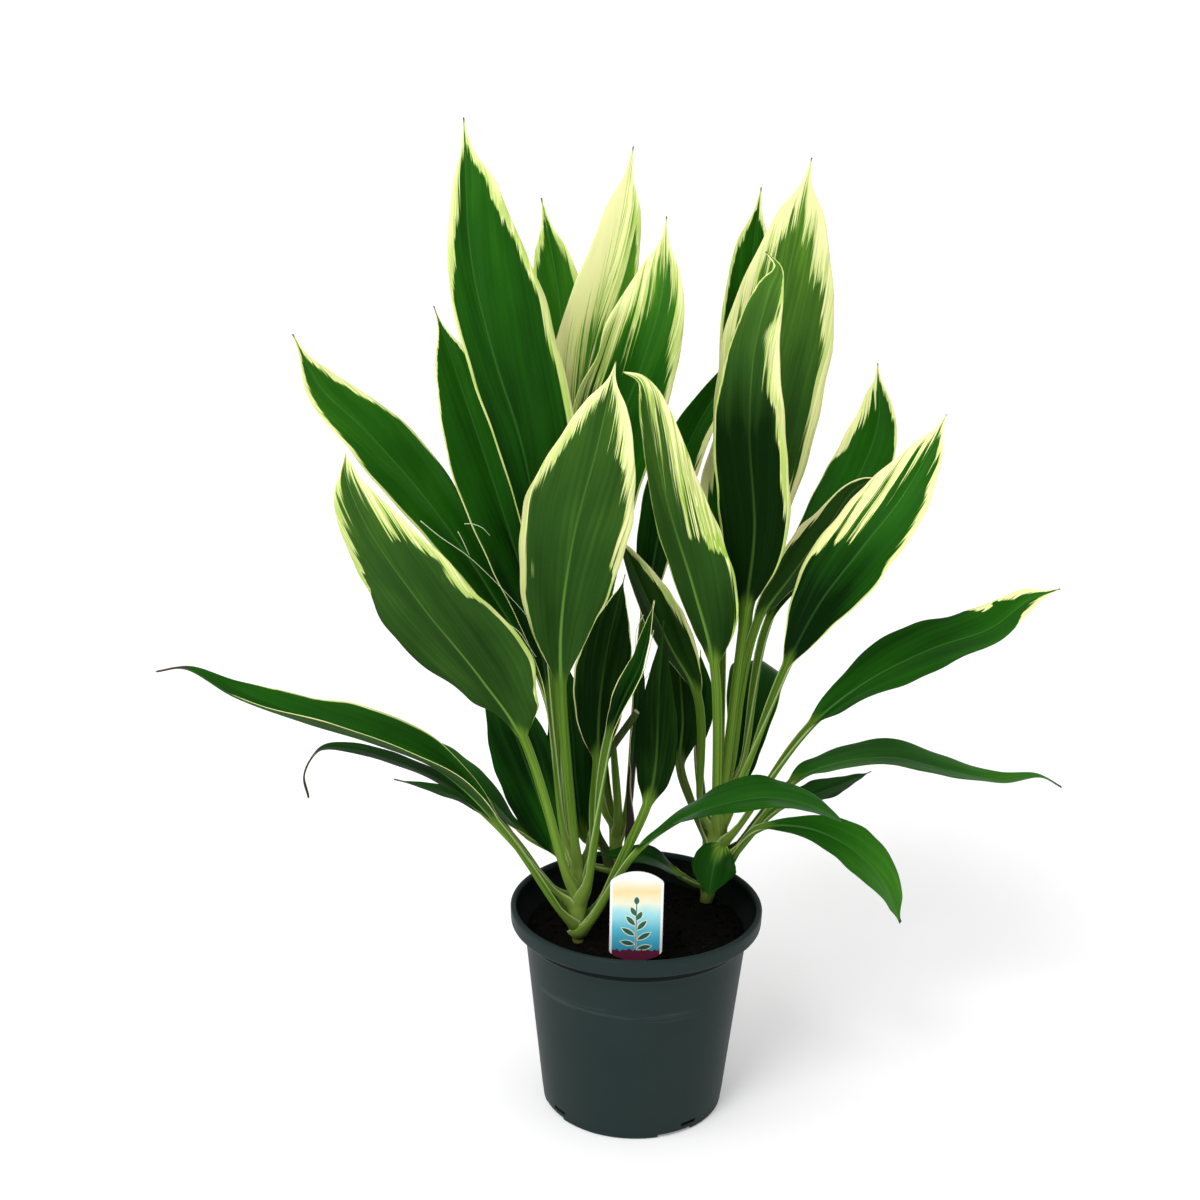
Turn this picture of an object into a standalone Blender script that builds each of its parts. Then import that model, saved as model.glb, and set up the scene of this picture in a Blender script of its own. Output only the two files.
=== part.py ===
"""Potted cordyline: three leafy canes in a round nursery pot, with a plant label.

Metres, +Z up.  The origin is the middle of the pot's underside, on the surface it stands on.
The pot's axis is +Z, and the label faces -Y.
"""
import math

import bpy
from mathutils import Matrix, Quaternion, Vector

MM = 0.001
GAP = 0.3 * MM                     # between pieces that touch

# The pot, a standard 17 cm one, turned about +Z.
POT_HEIGHT = 145 * MM
RIM_RADIUS = 85 * MM
RIM_BAND = 12 * MM                 # upright outer band of the rim
RIM_ROUNDING = 2 * MM
RIM_THICKNESS = 4 * MM
NECK_RADIUS = 75 * MM              # outside, just under the rim
NECK_HEIGHT = POT_HEIGHT - 21 * MM
BASE_RADIUS = 61.5 * MM
WALL = 2 * MM
FLOOR_TOP = 6 * MM
FLOOR_UNDERSIDE = 4 * MM
FOOT_ROUNDING = 2 * MM
FOOT_RING_INSIDE = 50 * MM
CENTRE_PAD_RADIUS = 15 * MM        # reaches the surface that the pot stands on
DRAIN_SLOTS = 4
DRAIN_SLOT = (6 * MM, 12 * MM, 2.8 * MM)
DRAIN_SLOT_ANGLE = -53             # degrees, the first slot
FOOT_NOTCHES = 4
FOOT_NOTCH = (30 * MM, 26 * MM, 5 * MM)
FOOT_NOTCH_ANGLE = -62
POT_STEPS = 48

SOIL_TOP = 128 * MM
SOIL_CHAMFER = 4 * MM
SOCKET_DEPTH = 32 * MM             # how far a cane goes into the soil

LABEL_WIDTH = 34.5 * MM
LABEL_TOP = 194 * MM
LABEL_ARCH = 7 * MM                # rise of its curved top edge
LABEL_SHOULDER = 137 * MM          # where the plate's lower corners are cut off
LABEL_CORNER = 4 * MM
LABEL_STAKE_TOP = 130 * MM
LABEL_STAKE_WIDTH = 11 * MM
LABEL_POINT = 12 * MM              # length of the stake's tapered end
LABEL_POINT_WIDTH = 2 * MM
LABEL_FOOT = 92 * MM
LABEL_THICKNESS = 1 * MM
LABEL_PLACE = (-1 * MM, -55 * MM)

CANE_STEPS = 20
CANE_WIDENS = (5 * MM, 12 * MM)    # above the soil, from the stem to the bundle of sheaths
CANE_DOME_START = 8 * MM           # below the top
CANE_DOME = (3 * MM, 0.6, 0.8)     # drop, and share of the radius and of the rise


class Cane:
    """A stem between two points of its axis, in millimetres, that carries leaf sheaths."""

    def __init__(self, foot, top, stem_radius, sheath_radius):
        self.foot = Vector(foot) * MM
        self.top = Vector(top) * MM
        self.stem_radius = stem_radius * MM
        self.sheath_radius = sheath_radius * MM


CANES = {
    "left": Cane((-39, -22, 128), (-40, -12, 188), 6, 8.5),
    "right": Cane((50, 40, 128), (62, 42, 222), 5, 7),
    "rear": Cane((-12, 52, 128), (-16, 56, 188), 5, 6.5),
}

# Leaves.
PETIOLE_ROWS = 5
BLADE_ROWS = 10
LEAF_COLUMNS = 4
PETIOLE_HALF_WIDTH = 4.5 * MM
PETIOLE_FOLD = 58                  # degrees, each side of the channel
SHEATH_HALF_WIDTH = 5 * MM
SHEATH_FOLD = 12
SHEATH_PART = 0.3                  # of the petiole's length
SHEATH_SEAT = 0.6 * MM             # extra room for the folded sides against the cane
ELBOW_REACH = 13 * MM              # the stalk leaves the cane at a slant over this length
ELBOW_LEAN = 0.65                  # outward share of its direction there, at least
BLADE_OPENS = 0.16                 # of the blade's length, where its fold has opened
BLADE_THINS = 0.12                 # of the blade's length, where it has its own thickness
TIP_HALF_WIDTH = 1.2 * MM
BLADE_THICKNESS = 1 * MM
PETIOLE_THICKNESS = 2.6 * MM
MIDRIB_ROUNDING = 0.02             # softens the fold's crease, as a squared share of the width
BASE_POINT = 0.85                  # how fully the blade rounds out near its base
WAVES = 2.2                        # ripples along a margin
WAVE_SHIFT = 0.35                  # of a ripple, between the two margins
TIP_CROWDING = 0.35                # how much closer the rows lie at both ends of the blade
SPLINE_STEPS = 24


class Leaf:
    """One leaf: where it grows, the way its midrib runs, and how its blade is shaped.

    node    share of the cane's length where the leaf grows
    azimuth the side of the cane it grows from, in degrees from +X (else towards the knee)
    route   the midrib in millimetres: the knee where the blade begins, then on to the tip
    width   widest part of the blade, in millimetres
    face    direction that the blade's upper side looks in
    belly   share of the blade's length at which it is widest
    point   how finely the tip is drawn out
    fold    degrees that each half rises from the midrib
    skew    how much wider one half is than the other
    wave    height of the ripples along its margins, as a share of the half width
    """

    def __init__(self, cane, node, route, width, face, belly=0.45, point=1.3, fold=10, skew=0.0,
                 wave=0.05, azimuth=None):
        self.cane = cane
        self.node = node
        self.route = [Vector(place) * MM for place in route]
        self.width = width * MM
        self.face = Vector(face)
        self.belly = belly
        self.point = point
        self.fold = fold
        self.skew = skew
        self.wave = wave
        self.azimuth = azimuth


LEAVES = {
    "leaf_left_01": Leaf("left", 0.10, [(-3, -44, 201), (18, -62, 229), (42, -78, 249), (77, -90, 262),
                                        (103, -92, 258), (123, -92, 248)],
                         44, (0, -0.1, 1), belly=0.55, point=0.9, azimuth=-52),
    "leaf_left_02": Leaf("left", 0.18, [(5, -15, 222), (10, -15, 251), (11, -15, 297), (13, -10, 349)],
                         26, (0, 1, 0.1), belly=0.35, azimuth=15),
    "leaf_left_03": Leaf("left", 0.20, [(-91, -50, 225), (-127, -60, 265), (-167, -65, 284),
                                        (-210, -65, 297), (-254, -60, 311), (-282, -55, 325),
                                        (-304, -50, 326)],
                         48, (0.15, 0, 1), fold=14, azimuth=215),
    "leaf_left_04": Leaf("left", 0.25, [(-84, -5, 194), (-109, -5, 216), (-135, -5, 227), (-162, -5, 234)],
                         22, (0.1, 0, 1), belly=0.4, azimuth=155),
    "leaf_left_05": Leaf("left", 0.39, [(-93, -25, 211), (-123, -30, 237), (-155, -32, 252),
                                        (-187, -32, 262), (-206, -32, 263), (-217, -30, 246),
                                        (-215, -28, 230)],
                         26, (0.1, 0, 1), belly=0.4, azimuth=188),
    "leaf_left_06": Leaf("left", 0.42, [(-21, -35, 276), (-12, -40, 306), (-1, -40, 333), (6, -35, 371)],
                         24, (-0.5, -0.8, 0.2), fold=20),
    "leaf_left_07": Leaf("left", 0.52, [(-75, -60, 287), (-96, -85, 339), (-124, -115, 400),
                                        (-151, -130, 446), (-168, -135, 475), (-173, -122, 483)],
                         74, (0.3, 0.9, 0.5), belly=0.48, point=0.8, fold=8),
    "leaf_left_08": Leaf("left", 0.55, [(-51, 25, 165), (-67, 40, 201), (-83, 50, 241), (-109, 60, 310)],
                         44, (0, -1, 0.3), belly=0.4),
    "leaf_left_09": Leaf("left", 0.64, [(-64, 28, 286), (-101, 30, 355), (-139, 28, 413),
                                        (-176, 20, 460), (-207, 15, 493), (-222, 10, 526)],
                         44, (0.45, -0.8, 0.4), belly=0.62, point=0.9, fold=14, azimuth=98),
    "leaf_left_10": Leaf("left", 0.74, [(-28, 5, 243), (-27, 10, 285), (-22, 14, 325), (-12, 18, 371)],
                         30, (0, 1, 0), azimuth=45),
    "leaf_left_11": Leaf("left", 0.82, [(-60, 12, 285), (-72, 14, 347), (-95, 20, 422), (-119, 25, 493),
                                        (-135, 22, 543)],
                         48, (0.2, -1, 0.1), belly=0.55, point=1.1, azimuth=152),
    "leaf_left_12": Leaf("left", 0.84, [(-51, -65, 321), (-51, -75, 370), (-44, -80, 425),
                                        (-31, -78, 479), (-21, -70, 528)],
                         66, (0, 1, 0.1), belly=0.52, point=1.1, skew=-0.15),
    "leaf_left_13": Leaf("left", 0.94, [(-60, -8, 334), (-74, -8, 460), (-90, 0, 545), (-108, 0, 611),
                                        (-114, -5, 660)],
                         66, (0.1, -1, 0.15), belly=0.6, point=0.9, fold=8, skew=0.12, azimuth=203),

    "leaf_right_01": Leaf("right", 0.10, [(31, 22, 154), (9, 12, 172), (-27, 6, 177)], 26, (0, -0.2, 1)),
    "leaf_right_02": Leaf("right", 0.28, [(58, 22, 177), (51, 12, 171), (46, 8, 149)],
                          28, (0, -1, 0.3), belly=0.4, fold=14),
    "leaf_right_03": Leaf("right", 0.16, [(80, 10, 195), (111, 0, 202), (141, -6, 191), (165, -10, 168),
                                          (177, -14, 140)],
                          40, (0.3, -0.45, 0.85), belly=0.6, point=0.9),
    "leaf_right_04": Leaf("right", 0.20, [(96, 55, 189), (125, 65, 198), (146, 72, 204), (165, 78, 211)],
                          30, (0, 0, 1), azimuth=50),
    "leaf_right_05": Leaf("right", 0.33, [(103, 30, 220), (130, 35, 233), (173, 40, 237), (213, 40, 228),
                                          (248, 40, 222), (274, 38, 226), (289, 36, 219)],
                          44, (0, 0, 1), belly=0.4, azimuth=-4),
    "leaf_right_06": Leaf("right", 0.44, [(111, 5, 271), (146, 2, 305), (186, 0, 329), (224, -2, 345),
                                          (247, -4, 365), (266, -4, 373)],
                          44, (-0.3, -0.4, 0.85), belly=0.55, point=0.9, fold=12, azimuth=-38),
    "leaf_right_07": Leaf("right", 0.29, [(43, 95, 217), (45, 105, 241), (44, 115, 286)],
                          20, (0.5, -0.8, 0.1), fold=14),
    "leaf_right_08": Leaf("right", 0.41, [(30, 65, 216), (31, 75, 248), (27, 85, 289), (19, 90, 331)],
                          26, (0, 1, 0.1)),
    "leaf_right_09": Leaf("right", 0.48, [(71, 72, 197), (80, 100, 243), (88, 135, 269), (97, 180, 250),
                                          (105, 225, 208)],
                          44, (0, -0.7, 0.5), fold=12),
    "leaf_right_10": Leaf("right", 0.54, [(39, 45, 276), (20, 48, 313), (1, 50, 351), (-18, 52, 391)],
                          36, (0.4, 0.8, 0.3), fold=24),
    "leaf_right_11": Leaf("right", 0.62, [(93, -5, 316), (112, -12, 363), (136, -16, 401),
                                          (158, -16, 433), (175, -14, 465), (184, -12, 487)],
                          52, (-0.35, -0.75, 0.5), belly=0.5, point=0.9, fold=14),
    "leaf_right_12": Leaf("right", 0.56, [(45, -25, 325), (31, -32, 377), (12, -42, 437), (1, -48, 485),
                                          (-6, -50, 512), (-17, -42, 516)],
                          42, (0.4, 0.9, 0.2), belly=0.35, point=0.7, fold=14, skew=-0.3, azimuth=-108),
    "leaf_right_13": Leaf("right", 0.86, [(75, 15, 339), (95, 18, 372), (117, 20, 404), (136, 20, 432),
                                          (156, 18, 440)],
                          34, (-0.3, 0.8, 0.5)),
    "leaf_right_14": Leaf("right", 0.90, [(84, 50, 324), (106, 60, 367), (128, 68, 400), (145, 72, 430),
                                          (154, 70, 465), (150, 62, 504)],
                          44, (-0.4, -0.7, 0.5), belly=0.58, point=0.9, azimuth=-2),
    "leaf_right_15": Leaf("right", 0.70, [(64, -20, 359), (67, -30, 416), (61, -36, 480), (62, -38, 530),
                                          (70, -34, 565), (75, -25, 577), (68, -15, 585)],
                          46, (0.1, 1, 0), belly=0.38, point=0.8, fold=8),
    "leaf_right_16": Leaf("right", 0.82, [(57, 82, 304), (55, 85, 375), (58, 88, 437), (64, 88, 498)],
                          38, (-0.2, -0.95, 0.1), fold=14, azimuth=124),
    "leaf_right_17": Leaf("right", 0.96, [(72, 55, 329), (75, 65, 437), (82, 70, 502), (88, 70, 544),
                                          (94, 65, 588), (100, 55, 635)],
                          74, (0, 1, 0.1), belly=0.66, point=0.9, fold=8, azimuth=68),
    "leaf_right_18": Leaf("right", 0.76, [(72, 100, 299), (61, 120, 466), (62, 120, 521), (67, 115, 569),
                                          (73, 105, 611)],
                          40, (-0.2, -0.95, 0.1), point=1, fold=14, azimuth=56),

    "leaf_rear_01": Leaf("rear", 0.20, [(-74, 38, 174), (-101, 35, 203), (-125, 35, 226), (-152, 35, 243),
                                        (-177, 35, 254)],
                         36, (0.1, -0.1, 1), belly=0.5),
    "leaf_rear_02": Leaf("rear", 0.34, [(-5, 45, 217), (-3, 50, 243), (0, 60, 312)],
                         18, (1, -0.6, 0), fold=14),
    "leaf_rear_03": Leaf("rear", 0.45, [(-36, 58, 166), (-42, 60, 202), (-46, 65, 244), (-55, 68, 303)],
                         34, (0, -1, 0.2), belly=0.4),
    "leaf_rear_04": Leaf("rear", 0.58, [(3, 85, 318), (17, 98, 401), (33, 105, 444), (54, 110, 483),
                                        (69, 110, 517)],
                         34, (-0.3, -0.9, 0.2), fold=20),
    "leaf_rear_05": Leaf("rear", 0.70, [(-26, 32, 325), (-28, 32, 407), (-18, 31, 464), (-5, 30, 503),
                                        (7, 25, 549), (9, 20, 601)],
                         62, (-0.2, -0.95, 0.2), belly=0.52, point=1, fold=8, azimuth=-60),
    "leaf_rear_06": Leaf("rear", 0.82, [(-33, 45, 316), (-44, 48, 446), (-36, 50, 518), (-21, 48, 583),
                                        (-12, 42, 641)],
                         48, (0.2, -0.95, 0.1), belly=0.55, point=0.9, fold=8, azimuth=-150),
    "leaf_rear_07": Leaf("rear", 0.85, [(-33, 82, 297), (-43, 82, 407), (-52, 82, 487), (-60, 80, 552),
                                        (-70, 75, 605)],
                         42, (-0.2, -0.95, 0.2), point=1.1, azimuth=117),
}

# An old leaf stalk of the rear cane, cut off.
STALK_ROUTE = [(-20.6, 46.5, 157), (-28, 37, 182), (-27, 26, 225), (-2, 20, 262)]
STALK_RADIUS = 3.5 * MM
STALK_STEPS = 4                    # points to a stretch


def clear_scene():
    for thing in list(bpy.data.objects):
        bpy.data.objects.remove(thing, do_unlink=True)


def new_collection(name):
    group = bpy.data.collections.new(name)
    bpy.context.scene.collection.children.link(group)
    return group


def material(name, colour, roughness):
    made = bpy.data.materials.new(name)
    made.use_nodes = True
    shader = made.node_tree.nodes["Principled BSDF"]
    shader.inputs["Base Color"].default_value = (*colour, 1)
    shader.inputs["Roughness"].default_value = roughness
    shader.inputs["Metallic"].default_value = 0
    return made


def new_object(name, data, group, finish=None):
    thing = bpy.data.objects.new(name, data)
    group.objects.link(thing)
    if finish:
        data.materials.append(finish)
    return thing


def turned(name, profile, group, finish, steps, closed):
    """A turned solid; its profile runs down the outside, from the top."""
    count = len(profile)
    edges = [(i, i + 1) for i in range(count - 1)]
    if closed:
        edges.append((count - 1, 0))
    mesh = bpy.data.meshes.new(name)
    mesh.from_pydata([(radius, 0, height) for radius, height in profile], edges, [])
    thing = new_object(name, mesh, group, finish)
    screw = thing.modifiers.new("Turn", "SCREW")
    screw.steps = screw.render_steps = steps
    screw.use_merge_vertices = True
    screw.merge_threshold = 0.01 * MM
    screw.use_smooth_shade = True
    return thing


def arc(centre, radius, start, end, steps):
    """Points (r, z) of an arc, with its angles in degrees."""
    points = []
    for i in range(steps + 1):
        angle = math.radians(start + (end - start) * i / steps)
        points.append((centre[0] + radius * math.cos(angle), centre[1] + radius * math.sin(angle)))
    return points


def as_cutter(thing, name, group):
    """Names a new primitive, moves it to the cutters' collection and hides it."""
    thing.name = thing.data.name = name
    for owner in list(thing.users_collection):
        owner.objects.unlink(thing)
    group.objects.link(thing)
    thing.hide_render = True
    thing.display_type = "WIRE"
    return thing


def cutter_box(name, size, place, angle, group):
    """A box whose middle lies at the place (r, z), turned about the pot's axis."""
    bpy.ops.mesh.primitive_cube_add(size=1)
    box = as_cutter(bpy.context.object, name, group)
    box.data.transform(Matrix.Diagonal((*size, 1)))
    box.data.transform(Matrix.Translation((place[0], 0, place[1])))
    box.rotation_euler = (0, 0, math.radians(angle))
    return box


def subtract(target, tool):
    cut = target.modifiers.new("Cut " + tool.name, "BOOLEAN")
    cut.operation = "DIFFERENCE"
    cut.solver = "EXACT"
    cut.object = tool


def wall_radius(height):
    """Outside radius of the pot's straight side."""
    return BASE_RADIUS + (NECK_RADIUS - BASE_RADIUS) * height / NECK_HEIGHT


def pot_profile():
    """Down the outside from the rim, across the underside, and up the inside."""
    band_foot = POT_HEIGHT - RIM_BAND
    lip = RIM_RADIUS - RIM_ROUNDING
    rim_inside = RIM_RADIUS - RIM_THICKNESS
    rim_top = POT_HEIGHT - RIM_ROUNDING
    step = 2 * MM
    outside = arc((lip, rim_top), RIM_ROUNDING, 90, 0, 3)
    outside += arc((lip, band_foot + RIM_ROUNDING), RIM_ROUNDING, 0, -90, 2)
    outside += [(NECK_RADIUS + 1.5 * step, band_foot - 1.5 * step),
                (NECK_RADIUS + 0.4 * step, NECK_HEIGHT + step), (NECK_RADIUS, NECK_HEIGHT)]
    outside += arc((BASE_RADIUS - FOOT_ROUNDING, FOOT_ROUNDING), FOOT_ROUNDING, 0, -90, 2)
    underside = [(FOOT_RING_INSIDE, 0), (FOOT_RING_INSIDE - step, FLOOR_UNDERSIDE),
                 (CENTRE_PAD_RADIUS + step / 2, FLOOR_UNDERSIDE), (CENTRE_PAD_RADIUS, 0), (0, 0)]
    inside = [(0, FLOOR_TOP), (wall_radius(FLOOR_TOP) - WALL - step, FLOOR_TOP),
              (wall_radius(FLOOR_TOP + step) - WALL, FLOOR_TOP + step),
              (NECK_RADIUS - WALL, NECK_HEIGHT), (NECK_RADIUS - WALL + step, NECK_HEIGHT + step),
              (rim_inside - step / 2, band_foot + step / 2), (rim_inside, band_foot + 1.5 * step),
              (rim_inside, rim_top)]
    inside += arc((lip, rim_top), RIM_ROUNDING, 180, 135, 1)
    return outside + underside + inside


def make_pot(parts, cutters):
    pot = turned("pot", pot_profile(), parts, material("pot plastic", (0.025, 0.034, 0.033), 0.45),
                 POT_STEPS, closed=True)
    slot_height = FLOOR_TOP - 1 * MM + DRAIN_SLOT[2] / 2
    for i in range(DRAIN_SLOTS):
        angle = DRAIN_SLOT_ANGLE + 360 / DRAIN_SLOTS * i
        subtract(pot, cutter_box(f"drain slot {i}", DRAIN_SLOT, (BASE_RADIUS, slot_height), angle, cutters))
    for i in range(FOOT_NOTCHES):
        angle = FOOT_NOTCH_ANGLE + 360 / FOOT_NOTCHES * i
        subtract(pot, cutter_box(f"foot notch {i}", FOOT_NOTCH, (BASE_RADIUS, 0), angle, cutters))


def make_soil(parts, cutters):
    """The root ball: it fills the pot, with a socket for each cane and a slit for the label."""
    bottom = FLOOR_TOP + GAP
    shoulder = bottom + SOIL_CHAMFER
    edge = SOIL_TOP - SOIL_CHAMFER
    inset = WALL + GAP + 0.2 * MM
    profile = [(0, SOIL_TOP), (wall_radius(edge) - inset - SOIL_CHAMFER, SOIL_TOP),
               (wall_radius(edge) - inset, edge), (wall_radius(shoulder) - inset, shoulder),
               (wall_radius(shoulder) - inset - SOIL_CHAMFER, bottom), (0, bottom)]
    soil = turned("potting_soil", profile, parts, material("potting soil", (0.02, 0.014, 0.01), 0.95),
                  POT_STEPS, closed=False)
    for name, cane in CANES.items():
        bpy.ops.mesh.primitive_cylinder_add(vertices=24, radius=cane.stem_radius + GAP,
                                            depth=2 * (SOCKET_DEPTH + GAP))
        socket = as_cutter(bpy.context.object, "socket " + name, cutters)
        socket.location = cane.foot
        socket.rotation_mode = "QUATERNION"
        socket.rotation_quaternion = (cane.top - cane.foot).to_track_quat("Z", "Y")
        subtract(soil, socket)
    depth = 2 * (SOIL_TOP - LABEL_FOOT + GAP)
    slit = cutter_box("label slit", (LABEL_STAKE_WIDTH + 2 * GAP, LABEL_THICKNESS + 2 * GAP, depth),
                      (0, 0), 0, cutters)
    slit.location = (*LABEL_PLACE, LABEL_FOOT - GAP + depth / 2)
    subtract(soil, slit)


def make_cane(name, parts, finish):
    """A stem that widens into a bundle of clasping leaf sheaths, domed at its top."""
    cane = CANES[name]
    length = (cane.top - cane.foot).length
    drop, narrowing, flattening = CANE_DOME
    dome = arc((0, 0), cane.sheath_radius * narrowing, 90, 0, 4)
    profile = [(radius, length - drop + rise * flattening) for radius, rise in dome]
    profile[0] = (0, profile[0][1])
    profile += [(cane.sheath_radius, length - CANE_DOME_START), (cane.sheath_radius, CANE_WIDENS[1]),
                (cane.stem_radius, CANE_WIDENS[0]), (cane.stem_radius, -SOCKET_DEPTH), (0, -SOCKET_DEPTH)]
    stem = turned("cane_" + name, profile, parts, finish, CANE_STEPS, closed=False)
    stem.location = cane.foot
    stem.rotation_mode = "QUATERNION"
    stem.rotation_quaternion = (cane.top - cane.foot).to_track_quat("Z", "Y")


def label_outline():
    """Outline of the label in its own plane, anticlockwise from the stake's foot."""
    half = LABEL_WIDTH / 2
    stake = LABEL_STAKE_WIDTH / 2
    point = LABEL_POINT_WIDTH / 2
    radius = (half * half + LABEL_ARCH * LABEL_ARCH) / (2 * LABEL_ARCH)
    spread = math.degrees(math.asin(half / radius))
    right = [(point, LABEL_FOOT), (stake, LABEL_FOOT + LABEL_POINT), (stake, LABEL_STAKE_TOP),
             (half - LABEL_CORNER, LABEL_SHOULDER - LABEL_CORNER), (half, LABEL_SHOULDER)]
    top = arc((0, LABEL_TOP - radius), radius, 90 - spread, 90 + spread, 12)
    left = [(-across, height) for across, height in reversed(right)]
    return right + top + left


def make_label(parts):
    outline = bpy.data.curves.new("plant_label", "CURVE")
    outline.dimensions = "2D"
    outline.fill_mode = "BOTH"
    outline.extrude = LABEL_THICKNESS / 2
    spline = outline.splines.new("POLY")
    points = label_outline()
    spline.points.add(len(points) - 1)
    for point, (across, height) in zip(spline.points, points):
        point.co = (across, height, 0, 1)
    spline.use_cyclic_u = True
    label = new_object("plant_label", outline, parts, material("label card", (0.85, 0.88, 0.88), 0.4))
    label.location = (*LABEL_PLACE, 0)
    label.rotation_euler = (math.radians(90), 0, 0)


def smooth_step(share):
    share = min(max(share, 0.0), 1.0)
    return share * share * (3 - 2 * share)


def spline_point(before, start, end, after, share):
    """A point between start and end on a centripetal Catmull-Rom spline."""
    first = max((start - before).length, 1e-6) ** 0.5
    middle = max((end - start).length, 1e-6) ** 0.5
    last = max((after - end).length, 1e-6) ** 0.5
    across = (end - start) / middle
    leaving = ((start - before) / first - (end - before) / (first + middle) + across) * middle
    arriving = (across - (after - start) / (middle + last) + (after - end) / last) * middle
    square, cube = share * share, share ** 3
    return (start * (2 * cube - 3 * square + 1) + leaving * (cube - 2 * square + share)
            + end * (3 * square - 2 * cube) + arriving * (cube - square))


def point_along(places, lengths, distance):
    for i in range(len(lengths) - 1):
        if distance <= lengths[i + 1] or i == len(lengths) - 2:
            span = max(lengths[i + 1] - lengths[i], 1e-9)
            return places[i].lerp(places[i + 1], min((distance - lengths[i]) / span, 1.0))
    return places[-1]


def cane_radius(cane, share):
    """Radius of the cane's side at a share of its length."""
    length = (cane.top - cane.foot).length
    height = share * length
    drop, narrowing = CANE_DOME[:2]
    widened = (height - CANE_WIDENS[0]) / (CANE_WIDENS[1] - CANE_WIDENS[0])
    narrowed = (height - length + CANE_DOME_START) / (CANE_DOME_START - drop)
    radius = cane.stem_radius + (cane.sheath_radius - cane.stem_radius) * min(max(widened, 0), 1)
    return radius * (1 - (1 - narrowing) * min(max(narrowed, 0), 1))


def leaf_base(leaf):
    """Where the leaf grows from its cane's side, and the level direction it sets out in."""
    cane = CANES[leaf.cane]
    axis_point = cane.foot.lerp(cane.top, leaf.node)
    outward = leaf.route[0] - axis_point
    if leaf.azimuth is not None:
        outward = Vector((math.cos(math.radians(leaf.azimuth)), math.sin(math.radians(leaf.azimuth)), 0))
    outward.z = 0
    outward.normalize()
    return axis_point + outward * (cane_radius(cane, leaf.node) + GAP + SHEATH_SEAT), outward


def midrib(leaf):
    """Points along the midrib, and each one's share of the blade (negative on the petiole)."""
    base, outward = leaf_base(leaf)
    rising = (leaf.route[0] - base).normalized()
    lean = max(ELBOW_LEAN - math.hypot(rising.x, rising.y), 0)
    slant = (rising + outward * lean).normalized()
    knots = [base, base + slant * ELBOW_REACH] + leaf.route
    knots = [knots[0] * 2 - knots[1]] + knots + [knots[-1] * 2 - knots[-2]]
    petiole = [spline_point(*knots[0:4], i / 2) for i in range(2)]
    above = PETIOLE_ROWS - 2
    petiole += [spline_point(*knots[1:5], (i / above) ** 1.3) for i in range(above)]
    places = []
    for segment in range(2, len(leaf.route) + 1):
        span = knots[segment:segment + 4]
        places += [spline_point(*span, i / SPLINE_STEPS) for i in range(SPLINE_STEPS)]
    places.append(leaf.route[-1])
    lengths = [0.0]
    for start, end in zip(places, places[1:]):
        lengths.append(lengths[-1] + (end - start).length)
    line = list(petiole)
    shares = [i / PETIOLE_ROWS - 1 for i in range(PETIOLE_ROWS)]
    for i in range(BLADE_ROWS + 1):
        even = i / BLADE_ROWS
        crowded = (1 - math.cos(math.pi * even)) / 2
        share = even + (crowded - even) * TIP_CROWDING
        line.append(point_along(places, lengths, share * lengths[-1]))
        shares.append(share)
    return line, shares, outward


def tangents(line):
    found = []
    for i in range(len(line)):
        found.append((line[min(i + 1, len(line) - 1)] - line[max(i - 1, 0)]).normalized())
    return found


def upward_normals(line, along, outward):
    """Normals of the upper side carried along the midrib without twisting."""
    normal = Vector((0, 0, 1)) * abs(along[0].dot(outward)) - outward * abs(along[0].z)
    normal = (normal - along[0] * normal.dot(along[0])).normalized()
    normals = [normal]
    for i in range(1, len(line)):
        turn = along[i - 1].rotation_difference(along[i])
        normal = turn @ normal
        normal = (normal - along[i] * normal.dot(along[i])).normalized()
        normals.append(normal)
    return normals


def face_roll(leaf, along, normals, shares):
    """Angle that turns the middle of the blade to look the way it should."""
    middle = min(range(len(shares)), key=lambda i: abs(shares[i] - 0.45))
    tangent, normal = along[middle], normals[middle]
    wanted = (leaf.face - tangent * leaf.face.dot(tangent)).normalized()
    return math.atan2(normal.cross(wanted).dot(tangent), normal.dot(wanted))


def half_width(leaf, share):
    if share < 0:
        narrowed = smooth_step((share + 1) / SHEATH_PART)
        return SHEATH_HALF_WIDTH + (PETIOLE_HALF_WIDTH - SHEATH_HALF_WIDTH) * narrowed
    stretched = share ** (math.log(0.5) / math.log(leaf.belly))
    power = BASE_POINT + (leaf.point - BASE_POINT) * share
    blade = max(math.sin(math.pi * min(stretched, 1.0)), 0.0) ** power * leaf.width / 2
    stalk = PETIOLE_HALF_WIDTH * (1 - share)
    return max((blade ** 3 + stalk ** 3) ** (1 / 3), TIP_HALF_WIDTH)


def fold_angle(leaf, share):
    if share < 0:
        opened = smooth_step((share + 1) / SHEATH_PART)
        return math.radians(SHEATH_FOLD + (PETIOLE_FOLD - SHEATH_FOLD) * opened)
    flattened = smooth_step(share / BLADE_OPENS)
    return math.radians(PETIOLE_FOLD + (leaf.fold - PETIOLE_FOLD) * flattened)


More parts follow.
